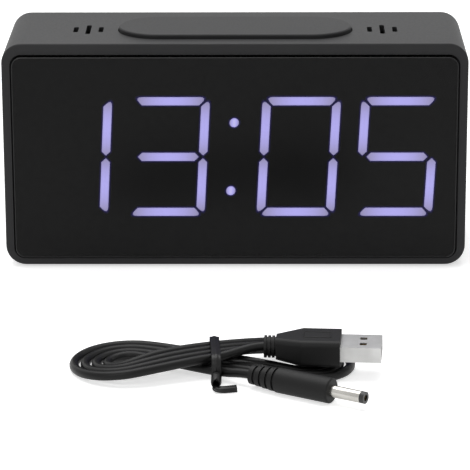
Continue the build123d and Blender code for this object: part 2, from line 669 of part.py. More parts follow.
def make_rear_cover():
    """The back: a shallow tray with tongues into the sleeve, bosses, the bay and the openings."""
    cover = prism(case_outline(), JOINT_Y, BACK_Y)
    cover = fillet(cover.faces().sort_by(Axis.Y)[-1].edges(), REAR_EDGE_ROUND)
    inner = RectangleRounded(CASE_WIDTH - 2 * WALL, CASE_HEIGHT - 2 * WALL, CORNER_RADIUS - WALL)
    cover -= prism(Pos(0, CASE_MIDDLE) * inner, JOINT_Y, COVER_INNER_Y)
    cover += cover_tongues()
    for x, z in case_bosses():
        cover += disc(x, z, CASE_BOSS_DIAMETER, JOINT_Y, BACK_Y - REAR_EDGE_ROUND)
    for x, z in control_bosses():
        cover += disc(x, z, BOARD_BOSS_DIAMETER, CONTROL_BOARD_BACK_Y, COVER_INNER_Y + BOSS_SINK)
    cover += bay_box(DOOR_LAP + BAY_WALL, DOOR_SEAT_Y - BAY_WALL, COVER_INNER_Y + BOSS_SINK)
    cover += bay_box(BAY_WALL, BAY_FLOOR_Y - BAY_WALL, DOOR_SEAT_Y)
    cover -= bay_box(0, BAY_FLOOR_Y, BACK_Y)
    cover += bay_ribs()
    cover -= bay_box(DOOR_LAP, DOOR_SEAT_Y, BACK_Y)
    cover -= door_pin(DOOR_PIN_DIAMETER / 2 + DOOR_PIN_CLEARANCE, DOOR_PIN_LENGTH + DOOR_GAP)
    for x, z in case_bosses():
        cover -= disc(x, z, SCREW_DIAMETER + 2 * SCREW_CLEARANCE, JOINT_Y, COVER_INNER_Y)
        cover -= disc(x, z, SCREW_HEAD_DIAMETER + 2 * HEAD_CLEARANCE, COVER_INNER_Y, BACK_Y)
    for x, z in control_bosses():
        depth = CONTROL_BOARD_FRONT_Y + BOARD_SCREW_LENGTH
        cover -= disc(x, z, BOARD_SCREW_DIAMETER + 2 * SCREW_CLEARANCE, CONTROL_BOARD_BACK_Y, depth)
    for x in button_places().values():
        cover -= disc(x, CONTROL_BOARD_MIDDLE, BUTTON_DIAMETER + 2 * BUTTON_GAP, COVER_INNER_Y, BACK_Y)
    return cover - disc(JACK_X, JACK_Z, JACK_NOSE_DIAMETER + 2 * JACK_CLEARANCE, COVER_INNER_Y, BACK_Y)


def cover_tongues():
    """Four thin tongues that slide just inside the sleeve's walls."""
    width = CASE_WIDTH - 2 * (WALL + TONGUE_CLEARANCE)
    height = CASE_HEIGHT - 2 * (WALL + TONGUE_CLEARANCE)
    ring = Rectangle(width, height) - Rectangle(width - 2 * TONGUE_THICKNESS, height - 2 * TONGUE_THICKNESS)
    between_bosses_x = Rectangle(2 * (CASE_BOSS_X - CASE_BOSS_DIAMETER), CASE_HEIGHT)
    between_bosses_z = Rectangle(CASE_WIDTH, CASE_BOSS_HIGH - CASE_BOSS_LOW - 2 * CASE_BOSS_DIAMETER)
    tongues = (ring & between_bosses_x) + (ring & between_bosses_z)
    return prism(Pos(0, CASE_MIDDLE) * tongues, JOINT_Y - TONGUE_REACH, COVER_INNER_Y + BOSS_SINK)


def bay_ribs():
    """Low ribs on the bay's floor between the cells."""
    ribs = []
    for side in (-0.5, 0.5):
        outline = Pos(BAY_MIDDLE_X, BAY_MIDDLE_Z + side * CELL_PITCH) * Rectangle(BAY_WIDTH, BAY_RIB_WIDTH)
        ribs.append(prism(outline, BAY_FLOOR_Y, BAY_FLOOR_Y + BAY_RIB_HEIGHT))
    return ribs


def door_pin(radius, length):
    """The door's two pins, as one bar along x that ends a length past the door at each side."""
    reach = DOOR_WINDOW_WIDTH / 2 - DOOR_GAP + length
    bar = Cylinder(radius, 2 * reach)
    return Pos(BAY_MIDDLE_X, DOOR_PIN_Y, DOOR_PIN_Z) * Rot(0, 90, 0) * bar


def make_battery_door():
    """The flush door, round along its lower edge, with a pin at each lower corner and grip lines."""
    width = DOOR_WINDOW_WIDTH - 2 * DOOR_GAP
    top = BAY_MIDDLE_Z + DOOR_WINDOW_HEIGHT / 2 - DOOR_GAP
    outline = Pos(BAY_MIDDLE_X, (top + DOOR_PIN_Z) / 2) * Rectangle(width, top - DOOR_PIN_Z)
    door = prism(outline, BACK_Y - DOOR_THICKNESS, BACK_Y)
    edge = Cylinder(DOOR_THICKNESS / 2, width)
    door += Pos(BAY_MIDDLE_X, DOOR_PIN_Y, DOOR_PIN_Z) * Rot(0, 90, 0) * edge
    door += door_pin(DOOR_PIN_DIAMETER / 2, DOOR_PIN_LENGTH)
    for i in range(GRIP_LINE_COUNT):
        z = top - (i + 2) * GRIP_LINE_PITCH
        line = Pos(BAY_MIDDLE_X, z) * SlotOverall(GRIP_LINE_LENGTH, GRIP_LINE_WIDTH)
        door -= prism(line, BACK_Y - GRIP_LINE_DEPTH, BACK_Y)
    return door


def make_battery_contacts():
    """Bent leaf contacts at both ends of the three cells."""
    contacts = []
    middle_y = BAY_FLOOR_Y + BAY_DEPTH / 2
    for side in (-1, 1):
        x = BAY_MIDDLE_X + side * BAY_WIDTH / 2
        for step in (-1, 0, 1):
            z = BAY_MIDDLE_Z + step * CELL_PITCH
            plate = Box(CONTACT_THICKNESS, CONTACT_SIDE, CONTACT_SIDE)
            leaf = Box(CONTACT_REACH, CONTACT_SIDE / 2, CONTACT_THICKNESS)
            plate = Pos(x - side * CONTACT_THICKNESS / 2, middle_y, z) * plate
            contacts.append(plate + Pos(x - side * CONTACT_REACH / 2, middle_y, z) * leaf)
    return group(contacts)


def make_dc_jack():
    """The barrel jack: a block behind the cover with a round nose in the cover's hole."""
    outline = Pos(JACK_X, JACK_Z) * RectangleRounded(JACK_WIDTH, JACK_HEIGHT, JACK_CORNER)
    block = prism(outline, BACK_Y - JACK_DEPTH, COVER_INNER_Y)
    block += disc(JACK_X, JACK_Z, JACK_NOSE_DIAMETER, COVER_INNER_Y, BACK_Y)
    bore_end = BACK_Y - PLUG_BARREL_LENGTH - PLUG_TIP_LENGTH - JACK_CLEARANCE
    block -= disc(JACK_X, JACK_Z, PLUG_BARREL_DIAMETER + 2 * JACK_CLEARANCE, bore_end, BACK_Y)
    return block - disc(JACK_X, JACK_Z, JACK_PIN_DIAMETER, BACK_Y - JACK_DEPTH, bore_end)


def make_dc_jack_pin():
    """The jack's centre pin, from its back to a little inside its mouth."""
    return disc(JACK_X, JACK_Z, JACK_PIN_DIAMETER, BACK_Y - JACK_DEPTH, BACK_Y - PLUG_TIP_LENGTH)


def make_feet():
    """Four rubber pads sunk into the sleeve's floor."""
    return group([post(x, y, FOOT_DIAMETER, 0, CASE_BOTTOM + FOOT_SUNK) for x, y in foot_places()])


def make_ribbon_cable():
    """The flat cable from the display board to the control board, bent as an S."""
    low = DIGIT_MIDDLE
    high = CONTROL_BOARD_MIDDLE
    span = CONTROL_BOARD_FRONT_Y - BOARD_BACK_Y
    points = [
        (RIBBON_X, BOARD_BACK_Y, low),
        (RIBBON_X, BOARD_BACK_Y + span * 0.4, low),
        (RIBBON_X, CONTROL_BOARD_FRONT_Y - span * 0.4, high),
        (RIBBON_X, CONTROL_BOARD_FRONT_Y, high),
    ]
    section = front_plane(BOARD_BACK_Y) * (Pos(RIBBON_X, low) * Rectangle(RIBBON_WIDTH, RIBBON_THICKNESS))
    return sweep(section, path=FilletPolyline(*points, radius=RIBBON_BEND))


def make_jack_leads():
    """Two leads from the back of the jack up to the control board."""
    leads = []
    jack_back = BACK_Y - JACK_DEPTH
    out_y = jack_back - 2 * LEAD_BEND
    for side in (-1, 1):
        x = JACK_X + side * LEAD_SPACING
        high = CONTROL_BOARD_MIDDLE + side * LEAD_SPACING
        points = [(x, jack_back, JACK_Z), (x, out_y, JACK_Z), (x, out_y, high)]
        points.append((x, CONTROL_BOARD_FRONT_Y, high))
        section = front_plane(jack_back) * (Pos(x, JACK_Z) * Circle(LEAD_DIAMETER / 2))
        leads.append(sweep(section, path=FilletPolyline(*points, radius=LEAD_BEND)))
    return group(leads)


def left_radius(turn):
    """The radius of a turn round the left lobe: each is a step wider than the one before."""
    return LOBE_RADIUS + (turn - (LEFT_TURNS - 1) / 2) * TURN_STEP


def right_radius(turn):
    """The radius of a turn round the right lobe: each is a step narrower than the one before."""
    return LOBE_RADIUS - (turn - (RIGHT_TURNS - 1) / 2) * TURN_STEP


def run_angle(radius_from, radius_to):
    """The slope of the straight run that crosses from one lobe's turn to the other's."""
    return math.asin((radius_from + radius_to) / (2 * LOBE_REACH))


def run_line(angle, radius):
    """Slope and height at the waist of a run that leaves the bottom of a left turn, or its mirror image."""
    return math.tan(angle), LOBE_REACH * math.tan(angle) - radius / math.cos(angle)


def crossing(upper, lower):
    """The x at which an upper run passes over a lower run, each given as slope and height."""
    return (lower[1] - upper[1]) / (upper[0] - lower[0])


def upper_lines():
    """All runs that rise to the right, the last one going to the USB plug."""
    return [run_line(run_angle(left_radius(k), right_radius(k)), left_radius(k)) for k in range(LEFT_TURNS)]


def lower_lines():
    """All runs that fall to the right, the first one coming from the barrel plug."""
    slope, height = run_line(math.radians(DC_RUN_ANGLE), left_radius(0))
    lines = [(-slope, -height)]
    for k in range(RIGHT_TURNS):
        slope, height = run_line(run_angle(right_radius(k), left_radius(k + 1)), left_radius(k + 1))
        lines.append((-slope, -height))
    return lines


def smooth(share):
    """A gentle climb from 0 to 1 that starts and ends level."""
    return share * share * (3 - 2 * share)


def steepness(share):
    """The slope of that climb."""
    return 6 * share * (1 - share)


def lobe_station(centre_x, radius, angle, turn):
    """Place and heading in plan on a lobe, going round it counter-clockwise (1) or clockwise (-1)."""
    place = (centre_x + radius * math.cos(angle), radius * math.sin(angle))
    return place, (-turn * math.sin(angle), turn * math.cos(angle))


def half_loop(radius_from, radius_to, level, start_x, end_x, mirror):
    """
    Stations of the cord from the far end of one lobe, along its lower side, across the waist
    and along the upper side of the other lobe to that one's far end. It is drawn from left to right
    and mirrored where it goes from right to left. It climbs off the table to a level over the waist.
    """
    angle = run_angle(radius_from, radius_to)
    quarter = math.pi / 2 + angle
    plan = []
    for share in (0, 0.5, 1):
        station = lobe_station(-LOBE_REACH, radius_from, math.pi + share * quarter, 1)
        plan.append((station, share * radius_from * quarter))
    slope, height = run_line(angle, radius_from)
    heading = (math.cos(angle), math.sin(angle))
    leave_x = plan[-1][0][0][0]
    arrive_x = LOBE_REACH - radius_to * math.sin(angle)
    before = radius_from * quarter
    for x in ((leave_x + start_x) / 2, start_x, end_x, (end_x + arrive_x) / 2):
        plan.append((((x, height + slope * x), heading), before + (x - leave_x) / math.cos(angle)))
    after = before + (arrive_x - leave_x) / math.cos(angle)
    for share in (0, 0.5, 1):
        station = lobe_station(LOBE_REACH, radius_to, (1 - share) * quarter, -1)
        plan.append((station, after + share * radius_to * quarter))
    climb = before + (start_x - leave_x) / math.cos(angle)
    fall = after - (arrive_x - end_x) / math.cos(angle)
    total = after + radius_to * quarter
    side = -1 if mirror else 1
    return [raise_station(station, along, level, climb, fall, total, side) for station, along in plan]


def raise_station(station, along, level, climb, fall, total, side):
    """A station in plan lifted to the height that the cord has there, with its heading tilted to match."""
    (x, y), (dx, dy) = station
    rise = level - CORD_RADIUS
    if along < climb:
        height, tilt = smooth(along / climb), steepness(along / climb) / climb
    elif along > fall:
        share = (total - along) / (total - fall)
        height, tilt = smooth(share), -steepness(share) / (total - fall)
    else:
        height, tilt = 1, 0
    return Vector(side * x, y, CORD_RADIUS + rise * height), Vector(side * dx, dy, rise * tilt).normalized()


def dc_end_stations():
    """From the barrel plug to the waist, under the upper runs and round to the far end of the first turn."""
    angle = math.radians(DC_RUN_ANGLE)
    radius = left_radius(0)
    slope, height = lower_lines()[0]
    heading = (-math.cos(angle), math.sin(angle))
    far = [crossing(line, (slope, height)) for line in upper_lines()]
    end_x = min(far) - CROSSING_MARGIN
    start_x = CROSSING_MARGIN
    arrive_x = -LOBE_REACH + radius * math.sin(angle)
    quarter = math.pi / 2 + angle
    stations = []
    straight = ((DC_LEAD, DC_AXIS_Z), (DC_LEAD - CORD_DIAMETER, DC_AXIS_Z), (start_x, LOW_Z), (end_x, LOW_Z))
    for x, z in straight:
        stations.append((Vector(x, height + slope * x, z), Vector(*heading, 0)))
    fall = (end_x - arrive_x) / math.cos(angle)
    total = fall + radius * quarter
    drop = LOW_Z - CORD_RADIUS
    for share in (0, 0.5, 1):
        (x, y), (dx, dy) = lobe_station(-LOBE_REACH, radius, math.pi - (1 - share) * quarter, 1)
        left = (1 - share) * radius * quarter / total
        z = CORD_RADIUS + drop * smooth(left)
        stations.append((Vector(x, y, z), Vector(dx, dy, -drop * steepness(left) / total).normalized()))
    return stations


def usb_end_stations():
    """From the far end of the last turn, over the waist and up to the USB plug."""
    radius = left_radius(LEFT_TURNS - 1)
    start_x = crossing(upper_lines()[-1], lower_lines()[0]) - CROSSING_MARGIN
    stations = half_loop(radius, right_radius(LEFT_TURNS - 1), HIGH_Z, start_x, USB_BEND_X, False)[:6]
    heading = Vector(math.cos(math.radians(USB_ANGLE)), math.sin(math.radians(USB_ANGLE)), 0)
    end = Vector(*USB_END, USB_AXIS_Z)
    return stations + [(end - heading * CORD_DIAMETER, heading), (end, heading)]


def cord_stations():
    """Places and headings all along the cord, from the barrel plug to the USB plug."""
    uppers = upper_lines()
    lowers = lower_lines()
    stations = dc_end_stations()
    for k in range(RIGHT_TURNS):
        places = [crossing(uppers[k], line) for line in lowers]
        ends = (min(places) - CROSSING_MARGIN, max(places) + CROSSING_MARGIN)
        stations += half_loop(left_radius(k), right_radius(k), HIGH_Z, *ends, False)[1:]
        places = [-crossing(line, lowers[k + 1]) for line in uppers]
        ends = (min(places) - CROSSING_MARGIN, max(places) + CROSSING_MARGIN)
        stations += half_loop(right_radius(k), left_radius(k + 1), LOW_Z, *ends, True)[1:]
    return stations + usb_end_stations()[1:]


def tangent_edge(start, heading, end):
    """An arc that leaves start along a heading and reaches end, or a line where that is straight ahead."""
    if (end - start).normalized().cross(heading).length < 1e-4:
        return Edge.make_line(start, end)
    return Edge.make_tangent_arc(start, heading, end)


def biarc(start, start_heading, end, end_heading):
    """Two arcs that meet smoothly and keep the headings at both ends."""
    span = end - start
    both = start_heading + end_heading
    bend = 2 * (1 - start_heading.dot(end_heading))
    toward = span.dot(both)
    if bend < 1e-9:
        reach = span.dot(span) / (2 * toward)
    else:
        reach = (math.sqrt(toward * toward + bend * span.dot(span)) - toward) / bend
    first = start + start_heading * reach
    second = end - end_heading * reach
    joint = (first + second) * 0.5
    joint_heading = (second - first).normalized()
    return [tangent_edge(start, start_heading, joint), tangent_edge(joint, joint_heading, end)]


def cord_edges():
    """The cord's centre line as arcs and lines, in the hank's own place."""
    stations = cord_stations()
    edges = []
    for (start, start_heading), (end, end_heading) in zip(stations, stations[1:]):
        edges += biarc(start, start_heading, end, end_heading)
    return edges


def print_cord(edges, tube):
    """Length, tightest bend, least gap from the cord to itself, and volume against section times length."""
    length = sum(edge.length for edge in edges)
    bends = [edge.radius for edge in edges if edge.geom_type == GeomType.CIRCLE]
    points = []
    along = 0
    for edge in edges:
        count = max(2, round(edge.length))
        for i in range(count):
            points.append((along + edge.length * i / count, tuple(edge.position_at(i / count))))
        along += edge.length
    far_apart = 4 * CORD_DIAMETER
    gaps = []
    for i, (a, p) in enumerate(points):
        gaps += [math.dist(p, q) for b, q in points[i:] if b - a > far_apart]
    print(f"cord length {length:.1f} mm, tightest bend {min(bends):.1f} mm, {len(edges)} edges")
    print(f"least gap {min(gaps) - CORD_DIAMETER:.2f} mm")
    print(f"volume {tube.volume:.1f} mm3, section times length {math.pi * CORD_RADIUS ** 2 * length:.1f} mm3")


def in_hank_place(shape):
    """A shape drawn round the tie, moved to where the hank lies on the table."""
    return Pos(TIE_X, TIE_Y, 0) * shape


def make_power_cord():
    """The whole cord as one tube, from plug to plug."""
    edges = cord_edges()
    start, heading = cord_stations()[0]
    tube = sweep(Plane(origin=start, z_dir=heading) * Circle(CORD_RADIUS), path=Wire(edges))
    print_cord(edges, tube)
    return in_hank_place(tube)


def make_cord_tie():
    """The twist tie: a flat band round the waist, its twisted ends and a bent tail."""
    highs = [height for slope, height in upper_lines() + lower_lines()]
    margin = CORD_RADIUS / math.cos(math.radians(DC_RUN_ANGLE)) + TIE_CLEARANCE + TIE_WIDTH / 2
    y_low = min(highs) - margin
    y_high = max(highs) + margin
    z_high = HIGH_Z + CORD_RADIUS + TIE_CLEARANCE
    hole = RectangleRounded(y_high - y_low, z_high - TIE_THICKNESS, TIE_CORNER)
    wide = y_high - y_low + 2 * TIE_THICKNESS
    ring = RectangleRounded(wide, z_high + TIE_THICKNESS, TIE_CORNER + TIE_THICKNESS)
    middle = (-TIE_WIDTH / 2, (y_low + y_high) / 2, (z_high + TIE_THICKNESS) / 2)
    side_plane = Plane(origin=middle, z_dir=(1, 0, 0), x_dir=(0, 1, 0))
    band = extrude(side_plane * (ring - hole), amount=TIE_WIDTH)
    knot_z = TIE_KNOT_DIAMETER / 2
    knot_start = y_low - TIE_THICKNESS / 2
    knot_end = knot_start - TIE_KNOT_LENGTH
    knot = Pos(0, knot_end, knot_z) * Rot(-90, 0, 0) * Cylinder(
        TIE_KNOT_DIAMETER / 2, TIE_KNOT_LENGTH, align=(Align.CENTER, Align.CENTER, Align.MIN)
    )
    tail_start = knot_end + TIE_TAIL_DIAMETER
    tail_y = knot_end - TIE_TAIL_BEND
    points = [(0, tail_start, knot_z), (0, tail_y, knot_z), (TIE_TAIL_LENGTH, tail_y, knot_z)]
    section = front_plane(tail_start) * (Pos(0, knot_z) * Circle(TIE_TAIL_DIAMETER / 2))
    tail = sweep(section, path=FilletPolyline(*points, radius=TIE_TAIL_BEND))
    return in_hank_place(band + knot + tail)


def on_usb_axis(shape):
    """A shape drawn along +Z from the cord's end, laid along the USB plug's axis with its width level."""
    axis = Plane(origin=(*USB_END, USB_AXIS_Z), z_dir=usb_heading(), x_dir=(0, 0, 1))
    return in_hank_place(axis.location * shape)


def usb_heading():
    """The way that the USB plug points, in plan."""
    angle = math.radians(USB_ANGLE)
    return (math.cos(angle), math.sin(angle), 0)


def stacked_rings(length, ribs, start_diameter, end_diameter, groove):
    """A round strain relief along +Z: ribs that widen from start to end, with grooves between them."""
    pitch = length / ribs
    relief = Part()
    for i in range(ribs):
        wide = start_diameter + (end_diameter - start_diameter) * (i + 1) / ribs
        rib = Cylinder(wide / 2, pitch * 0.62, align=(Align.CENTER, Align.CENTER, Align.MIN))
        core = Cylinder(wide / 2 - groove, pitch, align=(Align.CENTER, Align.CENTER, Align.MIN))
        relief += Pos(0, 0, i * pitch) * (core + rib)
    return relief


def make_usb_plug_grip():
    """The moulded grip: ribbed strain relief, flaring neck and a rounded block with the shell's pocket."""
    thick = USB_RELIEF_DIAMETER
    relief = stacked_rings(USB_RELIEF_LENGTH, USB_RELIEF_RIBS, thick, thick, USB_RELIEF_GROOVE)
    narrow = Pos(0, 0, USB_RELIEF_LENGTH) * RectangleRounded(thick, thick, USB_GRIP_ROUND)
    neck_end = USB_RELIEF_LENGTH + USB_NECK_LENGTH
    block_face = RectangleRounded(USB_GRIP_HEIGHT, USB_GRIP_WIDTH, USB_GRIP_ROUND)
    neck = loft([narrow, Pos(0, 0, neck_end) * block_face])
    block = extrude(Pos(0, 0, neck_end) * block_face, amount=USB_GRIP_LENGTH)
    pocket_start = neck_end + USB_GRIP_LENGTH - USB_SHELL_SUNK
    pocket = Pos(0, 0, pocket_start) * Rectangle(USB_SHELL_HEIGHT, USB_SHELL_WIDTH)
    return on_usb_axis(relief + neck + block - extrude(pocket, amount=USB_SHELL_SUNK))


def usb_shell_start():
    """How far along the plug the steel shell begins, inside the grip."""
    return USB_RELIEF_LENGTH + USB_NECK_LENGTH + USB_GRIP_LENGTH - USB_SHELL_SUNK


def make_usb_plug_shell():
    """The steel shell: a thin rectangular tube with two square holes above and below."""
    length = USB_SHELL_SUNK + USB_SHELL_LENGTH
    ring = Rectangle(USB_SHELL_HEIGHT, USB_SHELL_WIDTH)
    ring -= Rectangle(USB_SHELL_HEIGHT - 2 * USB_SHELL_WALL, USB_SHELL_WIDTH - 2 * USB_SHELL_WALL)
    shell = extrude(ring, amount=length)
    for side in (-1, 1):
        place = Pos(0, side * USB_HOLE_SPACING / 2, length - USB_HOLE_FROM_FRONT)
        shell -= place * Box(2 * USB_SHELL_HEIGHT, USB_HOLE_SIDE, USB_HOLE_SIDE)
    return on_usb_axis(Pos(0, 0, usb_shell_start()) * shell)


def make_usb_plug_tongue():
    """The plastic tongue that fills the lower half of the shell."""
    width = USB_SHELL_WIDTH - 2 * USB_SHELL_WALL
    length = USB_SHELL_SUNK + USB_SHELL_LENGTH - USB_TONGUE_SHORT
    x = USB_TONGUE_HEIGHT / 2 - USB_SHELL_HEIGHT / 2 + USB_SHELL_WALL
    tongue = Pos(x, 0, usb_shell_start()) * Box(
        USB_TONGUE_HEIGHT, width, length, align=(Align.CENTER, Align.CENTER, Align.MIN)
    )
    return on_usb_axis(tongue)


def make_usb_plug_contacts():
    """Four gilt contact strips on the tongue."""
    x = USB_TONGUE_HEIGHT - USB_SHELL_HEIGHT / 2 + USB_SHELL_WALL + USB_CONTACT_HEIGHT / 2
    end = usb_shell_start() + USB_SHELL_SUNK + USB_SHELL_LENGTH - 2 * USB_TONGUE_SHORT
    size = (USB_CONTACT_HEIGHT, USB_CONTACT_WIDTH, USB_CONTACT_LENGTH)
    strip = Box(*size, align=(Align.CENTER, Align.CENTER, Align.MAX))
    strips = []
    for i in range(4):
        strips.append(on_usb_axis(Pos(x, (i - 1.5) * USB_CONTACT_PITCH, end) * strip))
    return group(strips)


def dc_axis():
    """The plane at the cord's end whose normal points along the barrel plug."""
    start, heading = dc_end_stations()[0]
    return Plane(origin=start, z_dir=heading * -1, x_dir=(0, 0, 1))


def on_dc_axis(shape):
    """A shape drawn along +Z from the cord's end, laid along the barrel plug's axis."""
    return in_hank_place(dc_axis().location * shape)


def tube_along(outer, inner, start, length):
    """A tube, or a bar where the inner diameter is 0, along +Z from start."""
    section = Pos(0, 0, start) * Circle(outer / 2)
    if inner:
        section -= Pos(0, 0, start) * Circle(inner / 2)
    return extrude(section, amount=length)


def make_dc_plug_grip():
    """The barrel plug's moulded grip with its ribbed strain relief."""
    widest = DC_GRIP_DIAMETER - DC_RELIEF_GROOVE
    relief = stacked_rings(DC_RELIEF_LENGTH, DC_RELIEF_RIBS, DC_RELIEF_START, widest, DC_RELIEF_GROOVE)
    body = tube_along(DC_GRIP_DIAMETER, 0, DC_RELIEF_LENGTH, DC_GRIP_LENGTH)
    body = fillet(body.faces().sort_by(Axis.Z)[-1].edges(), DC_GRIP_ROUND)
    return on_dc_axis(relief + body)


def make_dc_plug_barrel():
    """The metal barrel."""
    inner = PLUG_BARREL_DIAMETER - 2 * PLUG_BARREL_WALL
    start = DC_RELIEF_LENGTH + DC_GRIP_LENGTH
    return on_dc_axis(tube_along(PLUG_BARREL_DIAMETER, inner, start, PLUG_BARREL_LENGTH))


def make_dc_plug_tip():
    """The black insulator: a tube inside the barrel that ends in a ring of the barrel's width."""
    start = DC_RELIEF_LENGTH + DC_GRIP_LENGTH
    inside = PLUG_BARREL_DIAMETER - 2 * PLUG_BARREL_WALL
    bore = PLUG_BORE + 2 * PLUG_SLEEVE_WALL
    tube = tube_along(inside, bore, start, PLUG_BARREL_LENGTH)
    ring = tube_along(PLUG_BARREL_DIAMETER, bore, start + PLUG_BARREL_LENGTH, PLUG_TIP_LENGTH)
    return on_dc_axis(tube + ring)


def make_dc_plug_sleeve():
    """The thin inner contact that takes the jack's pin."""
    start = DC_RELIEF_LENGTH + DC_GRIP_LENGTH
    outer = PLUG_BORE + 2 * PLUG_SLEEVE_WALL
    return on_dc_axis(tube_along(outer, PLUG_BORE, start, PLUG_BARREL_LENGTH + PLUG_TIP_LENGTH / 2))


def make_all():
    """Every sub-part by name."""
    parts = {
        "case_shell": make_case_shell(),
        "front_lens": make_front_lens(),
        "display_reflector": make_display_reflector(),
        "colon_dots": make_colon_dots(),
        "dark_segments": make_dark_segments(),
        "display_board": make_display_board(),
        "display_leds": make_display_leds(),
        "display_driver_chip": make_chip(DRIVER_CHIP_X, DIGIT_MIDDLE, DRIVER_CHIP_SIZE, BOARD_BACK_Y, 1),
        "display_screws": make_display_screws(),
        "snooze_bar": make_snooze_bar(),
        "snooze_board": make_snooze_board(),
        "snooze_screws": make_snooze_screws(),
        "snooze_switch": Pos(0, BAR_Y, SNOOZE_BOARD_TOP) * make_switch(),
        "snooze_switch_stem": Pos(0, BAR_Y, SNOOZE_BOARD_TOP) * make_stem(BAR_TRAVEL),
        "rear_cover": make_rear_cover(),
        "case_screws": make_case_screws(),
        "control_board": make_control_board(),
        "control_screws": make_control_screws(),
        "control_chip": on_control_front(CONTROL_CHIP_X, CONTROL_CHIP_SIZE),
        "clock_crystal": on_control_front(CRYSTAL_X, CRYSTAL_SIZE),
        "buzzer": make_buzzer(),
        "battery_contacts": make_battery_contacts(),
        "battery_door": make_battery_door(),
        "dc_jack": make_dc_jack(),
        "dc_jack_pin": make_dc_jack_pin(),
        "ribbon_cable": make_ribbon_cable(),
        "jack_leads": make_jack_leads(),
        "feet": make_feet(),
        "power_cord": make_power_cord(),
        "cord_tie": make_cord_tie(),
        "usb_plug_grip": make_usb_plug_grip(),
        "usb_plug_shell": make_usb_plug_shell(),
        "usb_plug_tongue": make_usb_plug_tongue(),
        "usb_plug_contacts": make_usb_plug_contacts(),
        "dc_plug_grip": make_dc_plug_grip(),
        "dc_plug_barrel": make_dc_plug_barrel(),
        "dc_plug_tip": make_dc_plug_tip(),
        "dc_plug_sleeve": make_dc_plug_sleeve(),
    }
    for name, letters, centre in zip(DIGIT_NAMES, LIT_SEGMENTS, DIGIT_CENTRES):
        parts[f"{name}_segments"] = make_segments(letters, centre)
    for name, x in button_places().items():
        parts[f"{name}_button"] = make_button(x)
        parts[f"{name}_switch_stem"] = on_control_board(make_stem(BUTTON_TRAVEL), x)
    parts["button_switches"] = group([on_control_board(make_switch(), x) for x in button_places().values()])
    return parts


os.makedirs("parts", exist_ok=True)
for part_name, part_shape in make_all().items():
    export_step(part_shape, f"parts/{part_name}.step")
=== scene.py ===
"""Looks of a digital LED desk clock and its tied USB power cable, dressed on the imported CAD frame.

Everything is in the CAD frame: +Z up, the display faces -Y, the origin under the middle of the clock.
Sizes are written in millimetres and turned to metres where a mesh or a curve is made.
"""

import logging
import math
from dataclasses import dataclass
from enum import Enum
from functools import cache
from typing import Any, Sequence

import bpy
import numpy as np
from mathutils import Matrix, Vector


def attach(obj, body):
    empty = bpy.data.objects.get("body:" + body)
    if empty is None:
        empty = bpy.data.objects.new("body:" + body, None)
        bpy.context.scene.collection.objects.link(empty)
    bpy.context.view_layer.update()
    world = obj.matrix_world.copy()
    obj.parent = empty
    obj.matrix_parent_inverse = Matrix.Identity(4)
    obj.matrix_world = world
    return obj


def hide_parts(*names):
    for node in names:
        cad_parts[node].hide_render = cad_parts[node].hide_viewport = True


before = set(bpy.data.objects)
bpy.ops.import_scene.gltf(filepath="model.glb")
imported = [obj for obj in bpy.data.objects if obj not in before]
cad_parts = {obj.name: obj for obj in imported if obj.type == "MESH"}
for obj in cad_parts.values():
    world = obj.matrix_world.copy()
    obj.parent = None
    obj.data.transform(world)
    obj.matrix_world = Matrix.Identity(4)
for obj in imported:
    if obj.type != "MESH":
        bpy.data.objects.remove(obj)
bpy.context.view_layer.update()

MM = 0.001
NOISE_LOW, NOISE_HIGH = 0.3, 0.7  # most values of a noise pattern lie between these two
CORNER_SHARE = 0.7  # the most of a side that the arc of one corner may take up
LOG = logging.getLogger("desk_clock")

Socket = bpy.types.NodeSocket
Array = np.ndarray
Pair = tuple[float, float]
Triple = tuple[float, float, float]
Faces = list[list[int]]
Shape = tuple[Array, Faces]
Patch = tuple[Array, Array, Faces]


class Body(Enum):
    """The CAD bodies that the pieces ride on."""

    CLOCK = "clock"
    CABLE = "power_cable"


def linear(hex_colour: str) -> tuple[float, float, float, float]:
    """Red, green and blue of an sRGB hex colour turned into linear light, with an alpha of 1."""
    channels = (int(hex_colour[i:i + 2], 16) / 255 for i in (1, 3, 5))
    return (*(c / 12.92 if c <= 0.04045 else ((c + 0.055) / 1.055) ** 2.4 for c in channels), 1.0)


def per_metre(size_mm: float) -> float:
    """The texture scale that gives a pattern one feature for each size in millimetres."""
    return 1.0 / (size_mm * MM)


def add(
    tree: bpy.types.NodeTree,
    kind: str,
    inputs: dict[Any, Any] | None = None,
    **settings: Any,
) -> bpy.types.Node:
    """Add one shader node with its settings, values and links.

    Args:
        tree: The node tree that gets the node.
        kind: The node's type name, without the ShaderNode in front.
        inputs: Value, colour or output socket for each input, by its name or number.
        settings: Properties of the node itself.

    Returns:
        The new node.
    """
    node = tree.nodes.new("ShaderNode" + kind)
    for name, value in settings.items():
        setattr(node, name, value)
    for name, value in (inputs or {}).items():
        if isinstance(value, Socket):
            tree.links.new(value, node.inputs[name])
        else:
            node.inputs[name].default_value = value
    return node


